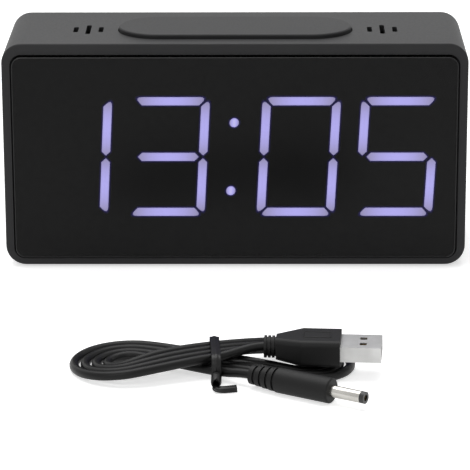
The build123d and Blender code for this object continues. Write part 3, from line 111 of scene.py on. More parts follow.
class Surface:
    """A material with one principled shader, and the patterns that drive the shader's inputs."""

    def __init__(self, name: str, values: dict[str, Any]) -> None:
        """Make the material and its shader.

        Args:
            name: The material's name.
            values: The shader's even values, by the name of the input.
        """
        self.material = bpy.data.materials.new(name)
        self.material.use_nodes = True
        self.tree = self.material.node_tree
        self.tree.nodes.clear()
        self.shader = add(self.tree, "BsdfPrincipled", values)
        add(self.tree, "OutputMaterial", {"Surface": self.shader.outputs["BSDF"]})

    def drive(self, name: str, socket: Socket) -> None:
        """Let a socket drive one of the shader's inputs."""
        self.tree.links.new(socket, self.shader.inputs[name])

    def place(self) -> Socket:
        """The object's own coordinates, in metres."""
        return add(self.tree, "TexCoord").outputs["Object"]

    def noise(self, place: Socket, size_mm: float, detail: float) -> Socket:
        """A noise pattern with features of a real size and a number of finer layers."""
        node = add(self.tree, "TexNoise", {"Vector": place, "Scale": per_metre(size_mm), "Detail": detail})
        return node.outputs["Fac"]

    def ramp(self, name: str, pattern: Socket, stops: Sequence[tuple[float, str]]) -> None:
        """Let a pattern choose a colour of the shader from a ramp.

        Args:
            name: The shader's input that gets the colour.
            pattern: The socket that chooses.
            stops: Place from 0 to 1 and hex colour of each stop, in order.
        """
        node = add(self.tree, "ValToRGB", {"Fac": pattern})
        elements = node.color_ramp.elements
        while len(elements) < len(stops):
            elements.new(0.5)
        for element, (place, colour) in zip(elements, stops):
            element.position = place
            element.color = linear(colour)
        self.drive(name, node.outputs["Color"])

    def gloss(self, pattern: Socket, low: float, high: float) -> None:
        """Let a pattern move the roughness between two values."""
        rough = add(self.tree, "MapRange", {"Value": pattern, "To Min": low, "To Max": high})
        self.drive("Roughness", rough.outputs["Result"])

    def relief(self, pattern: Socket, depth_mm: float, strength: float) -> None:
        """Let a pattern raise the surface by a depth, as far as the light is concerned."""
        bump = add(self.tree, "Bump", {"Height": pattern, "Distance": depth_mm * MM, "Strength": strength})
        self.drive("Normal", bump.outputs["Normal"])


@dataclass(frozen=True)
class GrainedFinish:
    """A surface with a fine grain in its gloss and relief, and a broad pattern in its colour.

    As it stands it is a moulding, with the grain of a spark-eroded mould and faint flow marks.
    """

    name: str
    dark: str
    pale: str
    roughness: float
    smoother: float = 0.06
    rougher: float = 0.06
    grain_mm: float = 0.7
    grain_depth_mm: float = 0.02
    grain_detail: float = 2.0
    grain_relief: float = 0.8
    flow_mm: float = 30.0
    flow_detail: float = 3.0
    stretch: Triple = (1.0, 1.0, 1.0)
    specular: float = 0.5
    ior: float = 1.5

    def values(self) -> dict[str, float]:
        """The shader's even values."""
        return {"IOR": self.ior, "Specular IOR Level": self.specular}

    def material(self) -> bpy.types.Material:
        """Build the node material.

        Returns:
            The material.
        """
        surface = Surface(self.name, self.values())
        place = surface.place()
        flow = surface.noise(place, self.flow_mm, self.flow_detail)
        surface.ramp("Base Color", flow, ((NOISE_LOW, self.dark), (NOISE_HIGH, self.pale)))
        drawn = add(surface.tree, "Mapping", {"Vector": place, "Scale": self.stretch})
        grain = surface.noise(drawn.outputs["Vector"], self.grain_mm, self.grain_detail)
        surface.gloss(grain, self.roughness - self.smoother, self.roughness + self.rougher)
        surface.relief(grain, self.grain_depth_mm, self.grain_relief)
        return surface.material


@dataclass(frozen=True)
class SmokedFinish:
    """Smoked acrylic sheet with an anti-glare face: it hides what is unlit behind it and dims what is lit."""

    name: str = "smoked_acrylic"
    tint: str = "#090909"
    opacity: float = 0.95
    roughness: float = 0.27
    gloss_change: float = 0.04
    dust_mm: float = 2.2
    dust_detail: float = 4.0
    specular: float = 0.14
    ior: float = 1.49

    def material(self) -> bpy.types.Material:
        """Build the node material.

        Returns:
            The material.
        """
        surface = Surface(self.name, {
            "Base Color": linear(self.tint), "Alpha": self.opacity,
            "IOR": self.ior, "Specular IOR Level": self.specular,
        })
        dust = surface.noise(surface.place(), self.dust_mm, self.dust_detail)
        surface.gloss(dust, self.roughness - self.gloss_change, self.roughness + self.gloss_change)
        surface.material.surface_render_method = "BLENDED"
        return surface.material


@dataclass(frozen=True)
class MetalFinish(GrainedFinish):
    """Rolled or turned metal under a thin plating: fine drawn lines, and a slightly cloudy colour."""

    smoother: float = 0.05
    rougher: float = 0.07
    grain_mm: float = 0.35
    grain_depth_mm: float = 0.004
    grain_detail: float = 3.0
    grain_relief: float = 0.5
    flow_mm: float = 6.0
    flow_detail: float = 2.0

    def values(self) -> dict[str, float]:
        """The shader's even values; a metal keeps the default IOR."""
        return {"Metallic": 1.0}


@dataclass(frozen=True)
class LaminateFinish:
    """Glass-epoxy circuit board: green solder mask over copper tracks that show as a paler green."""

    name: str = "circuit_board_laminate"
    mask: str = "#0f4a2a"
    track: str = "#1d6b3f"
    track_mm: float = 1.6
    track_disorder: float = 0.35
    track_edge: Pair = (0.36, 0.42)
    track_depth_mm: float = 0.03
    track_relief: float = 0.4
    roughness: float = 0.32
    ior: float = 1.55

    def material(self) -> bpy.types.Material:
        """Build the node material.

        Returns:
            The material.
        """
        surface = Surface(self.name, {"Roughness": self.roughness, "IOR": self.ior})
        cells = add(surface.tree, "TexVoronoi", {
            "Vector": surface.place(),
            "Scale": per_metre(self.track_mm * 2),
            "Randomness": self.track_disorder,
        }, distance="CHEBYCHEV").outputs["Distance"]
        surface.ramp("Base Color", cells, tuple(zip(self.track_edge, (self.track, self.mask))))
        surface.relief(cells, self.track_depth_mm, self.track_relief)
        return surface.material


@dataclass(frozen=True)
class GlowFinish:
    """Milky light guide over an LED: brightest over the LED, greyer at its ends, blue spill round it."""

    name: str = "lit_light_guide"
    stops: tuple[tuple[float, str], ...] = (
        (0.0, "#000000"), (0.22, "#1a1450"), (0.27, "#78739a"), (0.42, "#958fb6"),
        (0.65, "#a39dd4"), (0.9, "#b0aaee"), (1.0, "#c0bbec"),
    )
    strength: float = 20.0
    unlit: str = "#0a0a0c"
    roughness: float = 0.6

    def material(self) -> bpy.types.Material:
        """Build the node material, which reads the mesh's own glow attribute.

        Returns:
            The material.
        """
        surface = Surface(self.name, {
            "Base Color": linear(self.unlit),
            "Roughness": self.roughness,
            "Emission Strength": self.strength,
        })
        glow = add(surface.tree, "Attribute", attribute_name="glow")
        surface.ramp("Emission Color", glow.outputs["Fac"], self.stops)
        return surface.material


# ABS from a spark-eroded mould: an even dark grey with a dull sheen.
CASE = GrainedFinish("case_abs_moulded", "#2a2a2b", "#2e2e2f", 0.52, specular=0.2)
# The same with a finer grain: a shade darker than the case.
BUTTON = GrainedFinish("button_abs_moulded", "#262627", "#2a2a2b", 0.54, grain_mm=0.6, specular=0.18)
# Moulded black ABS, matt: it swallows stray light.
REFLECTOR = GrainedFinish("reflector_black_abs", "#070707", "#0b0b0b", 0.7)
# Polished acrylic: a thin bright line round the lens.
EDGE = GrainedFinish("acrylic_polished_edge", "#0a0a0b", "#0c0c0d", 0.2, grain_depth_mm=0.002, specular=0.32)
# Screen-printed ink: a flat, deep black.
INK = GrainedFinish("screen_ink_black", "#050505", "#060606", 0.85, grain_depth_mm=0.0005, specular=0.02)
# Moulded polycarbonate, unlit: lost in the black round it.
UNLIT = GrainedFinish("unlit_light_guide", "#0b0b0c", "#0e0e10", 0.6)
# Moulded epoxy: grey-black with a fine sandy face.
CHIP = GrainedFinish("moulded_epoxy_black", "#141414", "#1a1a1a", 0.55, grain_mm=0.4)
# Moulded polyamide with phosphor: cream-coloured, half glossy.
LED = GrainedFinish("led_package_polyamide", "#e9e2c8", "#f3eedd", 0.4, grain_mm=0.5)
# PVC extruded over wires 1.27 mm apart: pale grey ridges.
RIBBON = GrainedFinish("ribbon_cable_pvc", "#8e8e90", "#a3a3a5", 0.45, grain_mm=1.27, grain_depth_mm=0.1)
# Moulded rubber: near black, with no gloss.
RUBBER = GrainedFinish("foot_rubber", "#161616", "#1d1d1d", 0.75, grain_mm=0.5)
# Extruded soft PVC: black with a waxy line of light along it.
CORD = GrainedFinish("cord_soft_pvc", "#080808", "#0c0c0c", 0.4, grain_mm=1.1, specular=0.2)
# PVC extruded flat over a wire: a little glossier than the cord.
TIE = GrainedFinish("twist_tie_coated_wire", "#0b0b0b", "#121212", 0.38, grain_mm=0.8, specular=0.25)
# Moulded PVC: softer and greyer than the cord.
GRIP = GrainedFinish("plug_grip_moulded_pvc", "#121212", "#181818", 0.5, grain_mm=0.6, specular=0.2)
# Moulded nylon: plain black with a little gloss.
TONGUE = GrainedFinish("plug_tongue_black_nylon", "#0c0c0c", "#111111", 0.4, grain_mm=0.6)
# Rolled steel under tin: satin grey with fine lines along the plug. The grey is set darker than bare tin, as
# painted shade for the darker surroundings that the shell would reflect.
SHELL_STEEL = MetalFinish("plug_shell_tinned_steel", "#b6b6b5", "#c4c4c3", 0.44, stretch=(0.08, 1.0, 1.0))
# Turned brass under bright nickel: sharp, warm reflections. Its colour is set darker than bare nickel, as
# painted shade for the dark surroundings that its reflections would show.
BARREL_NICKEL = MetalFinish("plug_barrel_bright_nickel", "#a9a7a2", "#bcbab5", 0.2, grain_mm=0.5)
# Rolled spring steel under nickel: paler and duller than the barrel.
SPRING_STEEL = MetalFinish("contact_nickelled_spring_steel", "#b7b5ae", "#cfcdc6", 0.26)
# Steel under black zinc: dark heads with a dull gleam.
SCREW_STEEL = MetalFinish("screw_black_zinc_steel", "#2a2a2c", "#3a3a3d", 0.4)
# Stamped brass under gilt: a warm yellow.
GILT = MetalFinish("contact_gilt_brass", "#c79a45", "#d9b25f", 0.25)
# What these three give the eye is said at their classes.
ACRYLIC, LAMINATE, GLOW = SmokedFinish(), LaminateFinish(), GlowFinish()

Finish = GrainedFinish | SmokedFinish | LaminateFinish | GlowFinish
KEYS = ("mode", "alarm", "minus", "plus")
# The digits of 13:05, each with the segments that are lit in it.
DIGITS = {"hour_tens": "bc", "hour_units": "abcdg", "minute_tens": "abcdef", "minute_units": "acdfg"}
NODE_FINISHES: dict[Finish, tuple[str, ...]] = {
    CASE: ("case_shell", "rear_cover", "battery_door"),
    BUTTON: ("snooze_bar", *(key + "_button" for key in KEYS)),
    REFLECTOR: ("display_reflector",),
    UNLIT: ("dark_segments",),
    CHIP: (
        "display_driver_chip", "control_chip", "buzzer", "snooze_switch", "button_switches",
        "snooze_switch_stem", *(key + "_switch_stem" for key in KEYS), "dc_jack",
    ),
    LED: ("display_leds",),
    RIBBON: ("ribbon_cable",),
    RUBBER: ("feet",),
    CORD: ("jack_leads", "power_cord"),
    TIE: ("cord_tie",),
    GRIP: ("usb_plug_grip", "dc_plug_grip"),
    TONGUE: ("usb_plug_tongue", "dc_plug_tip"),
    SHELL_STEEL: ("usb_plug_shell",),
    BARREL_NICKEL: ("dc_plug_barrel",),
    SPRING_STEEL: ("battery_contacts", "clock_crystal", "dc_jack_pin"),
    SCREW_STEEL: ("display_screws", "snooze_screws", "control_screws", "case_screws"),
    GILT: ("usb_plug_contacts", "dc_plug_sleeve"),
    ACRYLIC: ("front_lens",),
    LAMINATE: ("display_board", "snooze_board", "control_board"),
    GLOW: (*(digit + "_segments" for digit in DIGITS), "colon_dots"),
}


@cache
def material_of(finish: Finish) -> bpy.types.Material:
    """A finish's material, made the first time that it is asked for."""
    return finish.material()


def dress(piece: bpy.types.Object, finish: Finish) -> None:
    """Put one finish on a whole piece."""
    piece.data.materials.clear()
    piece.data.materials.append(material_of(finish))


def dress_nodes() -> None:
    """Put the right finish on every CAD node."""
    for finish, names in NODE_FINISHES.items():
        for name in names:
            dress(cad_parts[name], finish)
    LOG.info("dressed %d CAD nodes", len(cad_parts))


def grid_faces(rows: int, columns: int) -> Array:
    """Quads of a grid of points, row by row, where each row closes on itself.

    Args:
        rows: Number of rows.
        columns: Points in a row.

    Returns:
        An array of point numbers, four for each quad.
    """
    r, c = np.meshgrid(np.arange(rows - 1), np.arange(columns), indexing="ij")
    here, beside = r * columns + c, r * columns + (c + 1) % columns
    return np.stack([here, beside, beside + columns, here + columns], axis=-1).reshape(-1, 4)


def mesh_piece(name: str, points_mm: Array, faces: Faces, smooth: bool = True) -> bpy.types.Object:
    """Put a shape into a mesh object that sits at the origin.

    Args:
        name: The piece's name.
        points_mm: Points in millimetres, one row each.
        faces: Point numbers of each face.
        smooth: Whether the faces are shaded smooth.

    Returns:
        The object, linked to the scene.
    """
    mesh = bpy.data.meshes.new(name)
    mesh.from_pydata((np.asarray(points_mm) * MM).tolist(), [], faces)
    mesh.update()
    if smooth:
        mesh.shade_smooth()
    else:
        mesh.shade_flat()
    piece = bpy.data.objects.new(name, mesh)
    bpy.context.scene.collection.objects.link(piece)
    return piece


def round_corners(corners: Array, radius: float | Array, count: int, pull: float = 1.0) -> Array:
    """An outline with each corner replaced by points of a small arc.

    The arc touches both sides at radius / tan(half the corner's angle). It is the quadratic curve drawn
    to the corner with the weight pull * sin(half the angle), which is a circle's arc at a pull of 1.

    Args:
        corners: The outline's corners in turn.
        radius: Radius of the arcs, one for all corners or one for each.
        count: Points on each arc.
        pull: How strongly the arc is drawn towards its corner.

    Returns:
        The outline's points in turn.
    """
    ahead = np.roll(corners, -1, axis=0) - corners
    behind = np.roll(corners, 1, axis=0) - corners
    ahead_length = np.linalg.norm(ahead, axis=1, keepdims=True)
    behind_length = np.linalg.norm(behind, axis=1, keepdims=True)
    ahead, behind = ahead / ahead_length, behind / behind_length
    half_angle = np.arccos(np.clip(np.sum(ahead * behind, axis=1, keepdims=True), -1, 1)) / 2
    wanted = np.reshape(radius, (-1, 1)) / np.tan(half_angle)
    reach = np.minimum(wanted, CORNER_SHARE * np.minimum(ahead_length, behind_length))
    start, end = corners + reach * behind, corners + reach * ahead
    s = np.linspace(0, 1, count)[None, :, None]
    first, last = (1 - s) ** 2, s ** 2
    drawn = 2 * s * (1 - s) * pull * np.sin(half_angle)[:, None]
    arc = (first * start[:, None] + drawn * corners[:, None] + last * end[:, None]) / (first + drawn + last)
    return arc.reshape(-1, 2)


def rectangle(size: Pair) -> Array:
    """Corners of a rectangle round the origin, counter-clockwise: half the size to each side."""
    return np.array([(-1, -1), (1, -1), (1, 1), (-1, 1)]) * np.array(size) / 2


def circle(count: int) -> Array:
    """Points spaced evenly on a circle of radius 1: cosine and sine of each one's angle."""
    turn = np.linspace(0, 2 * np.pi, count, endpoint=False)
    return np.column_stack([np.cos(turn), np.sin(turn)])


def turning(corners: Array) -> float:
    """Which way an outline runs, 1 for counter-clockwise: the sign of the sum of x dz - z dx round it."""
    x, z = corners.T
    return np.sign(np.sum(x * np.roll(z, -1) - np.roll(x, -1) * z))


def inset(corners: Array, amount: float) -> Array:
    """Corners of a convex outline moved inwards: each is where its two moved sides meet.

    Args:
        corners: The outline's corners in turn.
        amount: How far each side moves in; negative moves it out.

    Returns:
        The new corners.
    """
    side = np.roll(corners, -1, axis=0) - corners
    side /= np.linalg.norm(side, axis=1, keepdims=True)
    inward = turning(corners) * np.column_stack([-side[:, 1], side[:, 0]])
    before_in = np.roll(inward, 1, axis=0)
    cosine = np.sum(inward * before_in, axis=1, keepdims=True)
    return corners + amount * (inward + before_in) / (1 + cosine)


def sweep(path: Array, side: Array, section: Array, closed: bool) -> Shape:
    """A section carried along a path, with its faces pointing outwards.

    Args:
        path: Points along the path, one per row.
        side: The direction of the section's width at each point.
        section: Outline of the section: across the width, and across the thickness.
        closed: Whether the path closes on itself; an open one gets flat ends.

    Returns:
        Points and faces.
    """
    ahead = np.roll(path, -1, axis=0) - np.roll(path, 1, axis=0) if closed else np.gradient(path, axis=0)
    ahead /= np.linalg.norm(ahead, axis=1, keepdims=True)
    up = np.cross(side, ahead)
    up /= np.linalg.norm(up, axis=1, keepdims=True)
    wide = np.cross(ahead, up)
    across, through = section[None, :, :1], section[None, :, 1:]
    points = (path[:, None] + across * wide[:, None] + through * up[:, None]).reshape(-1, 3)
    count = len(section)
    quads = grid_faces(len(path) + closed, count) % len(points)
    a, b, c, d = (points[quads[:, k]] for k in range(4))
    if np.sum(a * (np.cross(b, c) + np.cross(c, d))) < 0:
        quads = quads[:, ::-1]
    faces = quads.tolist()
    if not closed:
        faces += [list(range(count)), list(range(len(points) - count, len(points)))[::-1]]
    return points, faces


def join_shapes(shapes: list[Shape]) -> Shape:
    """Put several shapes into one set of points and faces.

    Args:
        shapes: Points and faces of each shape.

    Returns:
        All points, and all faces with their numbers moved on.
    """
    starts = np.cumsum([0] + [len(points) for points, _ in shapes])
    faces = [[int(i + start) for i in face] for start, (_, parts) in zip(starts, shapes) for face in parts]
    return np.concatenate([points for points, _ in shapes]), faces


def smooth_step(share: Array) -> Array:
    """A climb from 0 to 1 that starts and ends level: 3 s^2 - 2 s^3."""
    s = np.clip(share, 0.0, 1.0)
    return s * s * (3 - 2 * s)


@dataclass(frozen=True)
class CordHank:
    """The cord wound into a figure of eight and tied at its waist, with a plug at each end."""

    tie_x: float = -5.0
    tie_y: float = -122.0
    diameter: float = 2.8
    reach: float = 26.0
    lobe_radius: float = 10.8
    left_turns: int = 4
    turn_step: float = 3.35
    low_z: float = 2.35
    high_z: float = 5.65
    margin: float = 2.0
    dc_run_degrees: float = 31.0
    dc_lead: float = 11.0
    dc_axis_z: float = 3.7
    usb_bend_x: float = 2.5
    usb_degrees: float = -4.0
    usb_end: Pair = (14.5, -3.0)
    usb_axis_z: float = 7.95
    lobe_points: int = 6
    drop_share: float = 0.8
    curve_steps: int = 5
    spline_order: int = 3

    def left_radius(self, turn: int) -> float:
        """Radius of a turn round the left lobe, each a step wider than the one before."""
        return self.lobe_radius + (turn - (self.left_turns - 1) / 2) * self.turn_step

    def right_radius(self, turn: int) -> float:
        """Radius of a turn round the right lobe, each a step narrower than the one before."""
        return self.lobe_radius - (turn - (self.left_turns - 2) / 2) * self.turn_step

    def run(self, first: float, second: float) -> Triple:
        """Angle, slope and height at the waist of the straight run between turns of two radii."""
        angle = math.asin((first + second) / (2 * self.reach))
        return angle, math.tan(angle), self.reach * math.tan(angle) - first / math.cos(angle)

    def upper_runs(self) -> list[Pair]:
        """Slope and height of the runs that rise to the right, the last one going to the USB plug."""
        return [self.run(self.left_radius(k), self.right_radius(k))[1:] for k in range(self.left_turns)]

    def lower_runs(self) -> list[Pair]:
        """Slope and height of the runs that fall to the right, the first one coming from the barrel plug.

        Returns:
            Slope and height of each run.
        """
        angle = math.radians(self.dc_run_degrees)
        first = self.left_radius(0)
        slope = math.tan(angle)
        runs = [(-slope, first / math.cos(angle) - self.reach * slope)]
        for k in range(self.left_turns - 1):
            _, slope, height = self.run(self.left_radius(k + 1), self.right_radius(k))
            runs.append((-slope, -height))
        return runs

    @staticmethod
    def crossing(upper: Pair, lower: Pair) -> float:
        """The x at which an upper run passes over a lower run, each given as slope and height."""
        return (lower[1] - upper[1]) / (upper[0] - lower[0])

    def half_loop(self, first: float, second: float, level: float, top: Pair) -> Array:
        """Points from one lobe's far end, across the waist, to the other lobe's far end, left to right.

        Each lobe is an arc of a circle. The height climbs from the table to the level over the waist
        and falls again, by the smooth step of the length covered.

        Args:
            first: Radius of the turn on the left.
            second: Radius of the turn on the right.
            level: Height of the cord's middle over the waist.
            top: The x on each side of the crossings, between which the cord lies at that level.

        Returns:
            One point per row.
        """
        angle, slope, height = self.run(first, second)
        quarter = math.pi / 2 + angle
        share = np.linspace(0, 1, self.lobe_points)
        left = math.pi + share * quarter
        right = (1 - share) * quarter
        tops = np.array(top)
        x = np.concatenate([
            -self.reach + first * np.cos(left), tops, self.reach + second * np.cos(right),
        ])
        y = np.concatenate([first * np.sin(left), height + slope * tops, second * np.sin(right)])
        along = np.concatenate([[0.0], np.cumsum(np.hypot(np.diff(x), np.diff(y)))])
        climb, fall = along[self.lobe_points], along[self.lobe_points + 1]
        rise = smooth_step(along / climb) * smooth_step((along[-1] - along) / (along[-1] - fall))
        return np.column_stack([x, y, self.diameter / 2 + (level - self.diameter / 2) * rise])

    def dc_end(self) -> Array:
        """Points from the barrel plug down to the waist and round to the far end of the first turn.

        Returns:
            One point per row.
        """
        angle = math.radians(self.dc_run_degrees)
        radius = self.left_radius(0)
        slope, height = self.lower_runs()[0]
        far = min(self.crossing(run, (slope, height)) for run in self.upper_runs()) - self.margin
        x = np.array([self.dc_lead, self.dc_lead - self.diameter, self.margin, far])
        z = np.array([self.dc_axis_z, self.dc_axis_z, self.low_z, self.low_z])
        run = np.column_stack([x, height + slope * x, z])
        share = np.linspace(0, 1, self.lobe_points)
        turn = math.pi - (1 - share) * (math.pi / 2 + angle)
        drop = (self.low_z - self.diameter / 2) * smooth_step(self.drop_share * (1 - share))
        lobe = np.column_stack([
            -self.reach + radius * np.cos(turn), radius * np.sin(turn), self.diameter / 2 + drop,
        ])
        return np.concatenate([run, lobe])

    def usb_heading(self) -> Array:
        """The level direction in which the USB plug points: cosine and sine of its angle."""
        angle = math.radians(self.usb_degrees)
        return np.array([math.cos(angle), math.sin(angle), 0.0])

    def usb_lead(self) -> Array:
        """Points from the far end of the last turn, over the waist and up to the USB plug.

        Returns:
            One point per row.
        """
        last = self.left_turns - 1
        start = self.crossing(self.upper_runs()[-1], self.lower_runs()[0]) - self.margin
        loop = self.half_loop(
            self.left_radius(last), self.right_radius(last), self.high_z, (start, self.usb_bend_x),
        )
        end = np.array([*self.usb_end, self.usb_axis_z])
        before = end - self.usb_heading() * self.diameter
        return np.concatenate([loop[:self.lobe_points + 2], [before], [end]])

    def points(self) -> Array:
        """All points of the cord from the barrel plug to the USB plug, in the CAD frame, in millimetres.

        Returns:
            One point per row.
        """
        uppers, lowers = self.upper_runs(), self.lower_runs()
        parts = [self.dc_end()]
        for k in range(self.left_turns - 1):
            places = [self.crossing(uppers[k], run) for run in lowers]
            top = (min(places) - self.margin, max(places) + self.margin)
            parts.append(self.half_loop(self.left_radius(k), self.right_radius(k), self.high_z, top)[1:])
            places = [-self.crossing(run, lowers[k + 1]) for run in uppers]
            top = (min(places) - self.margin, max(places) + self.margin)
            back = self.half_loop(self.right_radius(k), self.left_radius(k + 1), self.low_z, top)[1:]
            parts.append(back * (-1.0, 1.0, 1.0))
        parts.append(self.usb_lead()[1:])
        return np.concatenate(parts) + (self.tie_x, self.tie_y, 0.0)

    def build(self) -> bpy.types.Object:
        """Lay the cord as one smooth spline through its turns.

        Returns:
            The cord's curve object.
        """
        points = self.points() * MM
        curve = bpy.data.curves.new("cord", "CURVE")
        curve.dimensions = "3D"
        curve.bevel_depth = self.diameter / 2 * MM
        curve.bevel_resolution = self.curve_steps
        curve.use_fill_caps = True
        curve.resolution_u = self.curve_steps
        spline = curve.splines.new("NURBS")
        spline.points.add(len(points) - 1)
        spline.points.foreach_set("co", np.column_stack([points, np.ones(len(points))]).ravel())
        spline.order_u = self.spline_order
        spline.use_endpoint_u = True
        cord = bpy.data.objects.new("cord", curve)
        bpy.context.scene.collection.objects.link(cord)
        dress(cord, CORD)
        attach(cord, Body.CABLE.value)
        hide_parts("power_cord")
        LOG.info("cord laid through %d points", len(points))
        return cord


@dataclass(frozen=True)
class TwistTie:
    """A plastic-coated wire tie: a flat band round the hank's waist, two twisted ends and a curled tail."""

    hank: CordHank
    width: float = 2.8
    strand_width: float = 2.2
    thickness: float = 0.9
    wing: float = 0.15
    wire_share: float = 0.35
    clearance: float = 0.15
    corner: float = 2.8
    sway: float = 0.05
    twist_radius: float = 1.1
    twist_length: float = 6.4
    twist_turns: float = 2.25
    tail_bend: Triple = (-0.6, -3.52, 0.0)
    tail_tip: Triple = (6.0, -1.32, 0.1)
    tail_lean: float = 1.4
    section_points: int = 9
    tail_points: int = 12
    points_per_turn: int = 20

    def section(self, width: float) -> Array:
        """Outline of the tie across: thin wings beside the wire, which rises between them as a bell curve.

        Args:
            width: The full width over both wings.

        Returns:
            Outline points: across the width, and across the thickness.
        """
        u = np.linspace(-1, 1, self.section_points)
        half = self.wing + (self.thickness / 2 - self.wing) * np.exp(-(u / self.wire_share) ** 2)
        across = u * width / 2
        return np.concatenate([np.column_stack([across, half]), np.column_stack([across, -half])[::-1]])

    def limits(self) -> Triple:
        """Front, back and top of the space that the band leaves for the cord's turns.

        Returns:
            Lowest y, highest y and highest z, from the waist's middle on the table.
        """
        heights = [height for _, height in self.hank.upper_runs() + self.hank.lower_runs()]
        lean = math.cos(math.radians(self.hank.dc_run_degrees))
        margin = self.hank.diameter / 2 / lean + self.clearance + self.width / 2
        top = self.hank.high_z + self.hank.diameter / 2 + self.clearance
        return min(heights) - margin, max(heights) + margin, top

    def band(self) -> Shape:
        """The closed band round the waist: a rectangle with rounded corners that sways a little with y.

        Returns:
            Points and faces.
        """
        low, high, top = self.limits()
        half = self.thickness / 2
        corners = np.array([
            (low - half, half), (high + half, half), (high + half, top + half), (low - half, top + half),
        ])
        y, z = round_corners(corners, self.corner, self.section_points).T
        path = np.column_stack([-self.sway * y, y, z])
        side = np.tile([1.0, 0.0, 0.0], (len(path), 1))
        return sweep(path, side, self.section(self.width), True)

    def strand(self, phase: float, tail: bool) -> Shape:
        """One of the two ends that are twisted round each other: a helix, which may end in the tail's curve.

        Args:
            phase: Turn of the strand at the far end of the twist, in radians.
            tail: Whether the strand goes on as the tail.

        Returns:
            Points and faces.
        """
        count = int(self.points_per_turn * self.twist_turns)
        share = np.linspace(0, 1, count)
        turn = phase + 2 * math.pi * self.twist_turns * (share - 1)
        start = self.limits()[0] - self.thickness / 2
        axis_z = self.twist_radius + self.strand_width / 2
        path = np.column_stack([
            -self.sway * start + self.twist_radius * np.cos(turn),
            start - self.twist_length * share,
            axis_z + self.twist_radius * np.sin(turn),
        ])
        side = np.column_stack([-np.sin(turn), np.zeros(count), np.cos(turn)])
        if tail:
            s = np.linspace(0, 1, self.tail_points)[1:, None]
            last = path[-1]
            bend, tip = last + self.tail_bend, last + self.tail_tip
            path = np.concatenate([path, (1 - s) ** 2 * last + 2 * s * (1 - s) * bend + s ** 2 * tip])
            lean = np.column_stack([np.cos(s * math.pi / 2), np.sin(s * math.pi / 2), self.tail_lean * s])
            side = np.concatenate([side, lean / np.linalg.norm(lean, axis=1, keepdims=True)])
        return sweep(path, side, self.section(self.strand_width), False)

    def build(self) -> bpy.types.Object:
        """Make the tie in the place of the CAD one.

        Returns:
            The tie.
        """
        ends = [self.strand(-math.pi / 2, True), self.strand(math.pi / 2, False)]
        points, faces = join_shapes([self.band(), *ends])
        tie = mesh_piece("twist_tie", points + (self.hank.tie_x, self.hank.tie_y, 0.0), faces)
        dress(tie, TIE)
        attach(tie, Body.CABLE.value)
        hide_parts("cord_tie")
        return tie


@dataclass(frozen=True)
class GripFrame:
    """The plain raised frame on the broad side of the USB plug's grip."""

    hank: CordHank
    along: float = 15.6
    size: Pair = (8.0, 5.0)
    corner: float = 0.8
    corner_points: int = 6
    grip_height: float = 8.0
    line_width: float = 0.45
    line_height: float = 0.16
    line_points: int = 10

    def build(self) -> bpy.types.Object:
        """Make the frame on the top of the grip: a flat ellipse carried round a rounded rectangle.

        Returns:
            The frame.
        """
        u, v = round_corners(rectangle(self.size), self.corner, self.corner_points).T
        heading = self.hank.usb_heading()
        beside = np.array([-heading[1], heading[0], 0.0])
        top = self.hank.usb_axis_z + self.grip_height / 2
        end_x, end_y = self.hank.usb_end
        start = np.array([self.hank.tie_x + end_x, self.hank.tie_y + end_y, top])
        path = start + np.outer(self.along + u, heading) + np.outer(v, beside)
        section = circle(self.line_points) * (self.line_width / 2, self.line_height)
        ahead = np.roll(path, -1, axis=0) - np.roll(path, 1, axis=0)
        side = np.cross(ahead, (0.0, 0.0, 1.0))
        frame_line = mesh_piece("usb_grip_frame", *sweep(path, side, section, True))
        dress(frame_line, GRIP)
        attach(frame_line, Body.CABLE.value)
        return frame_line


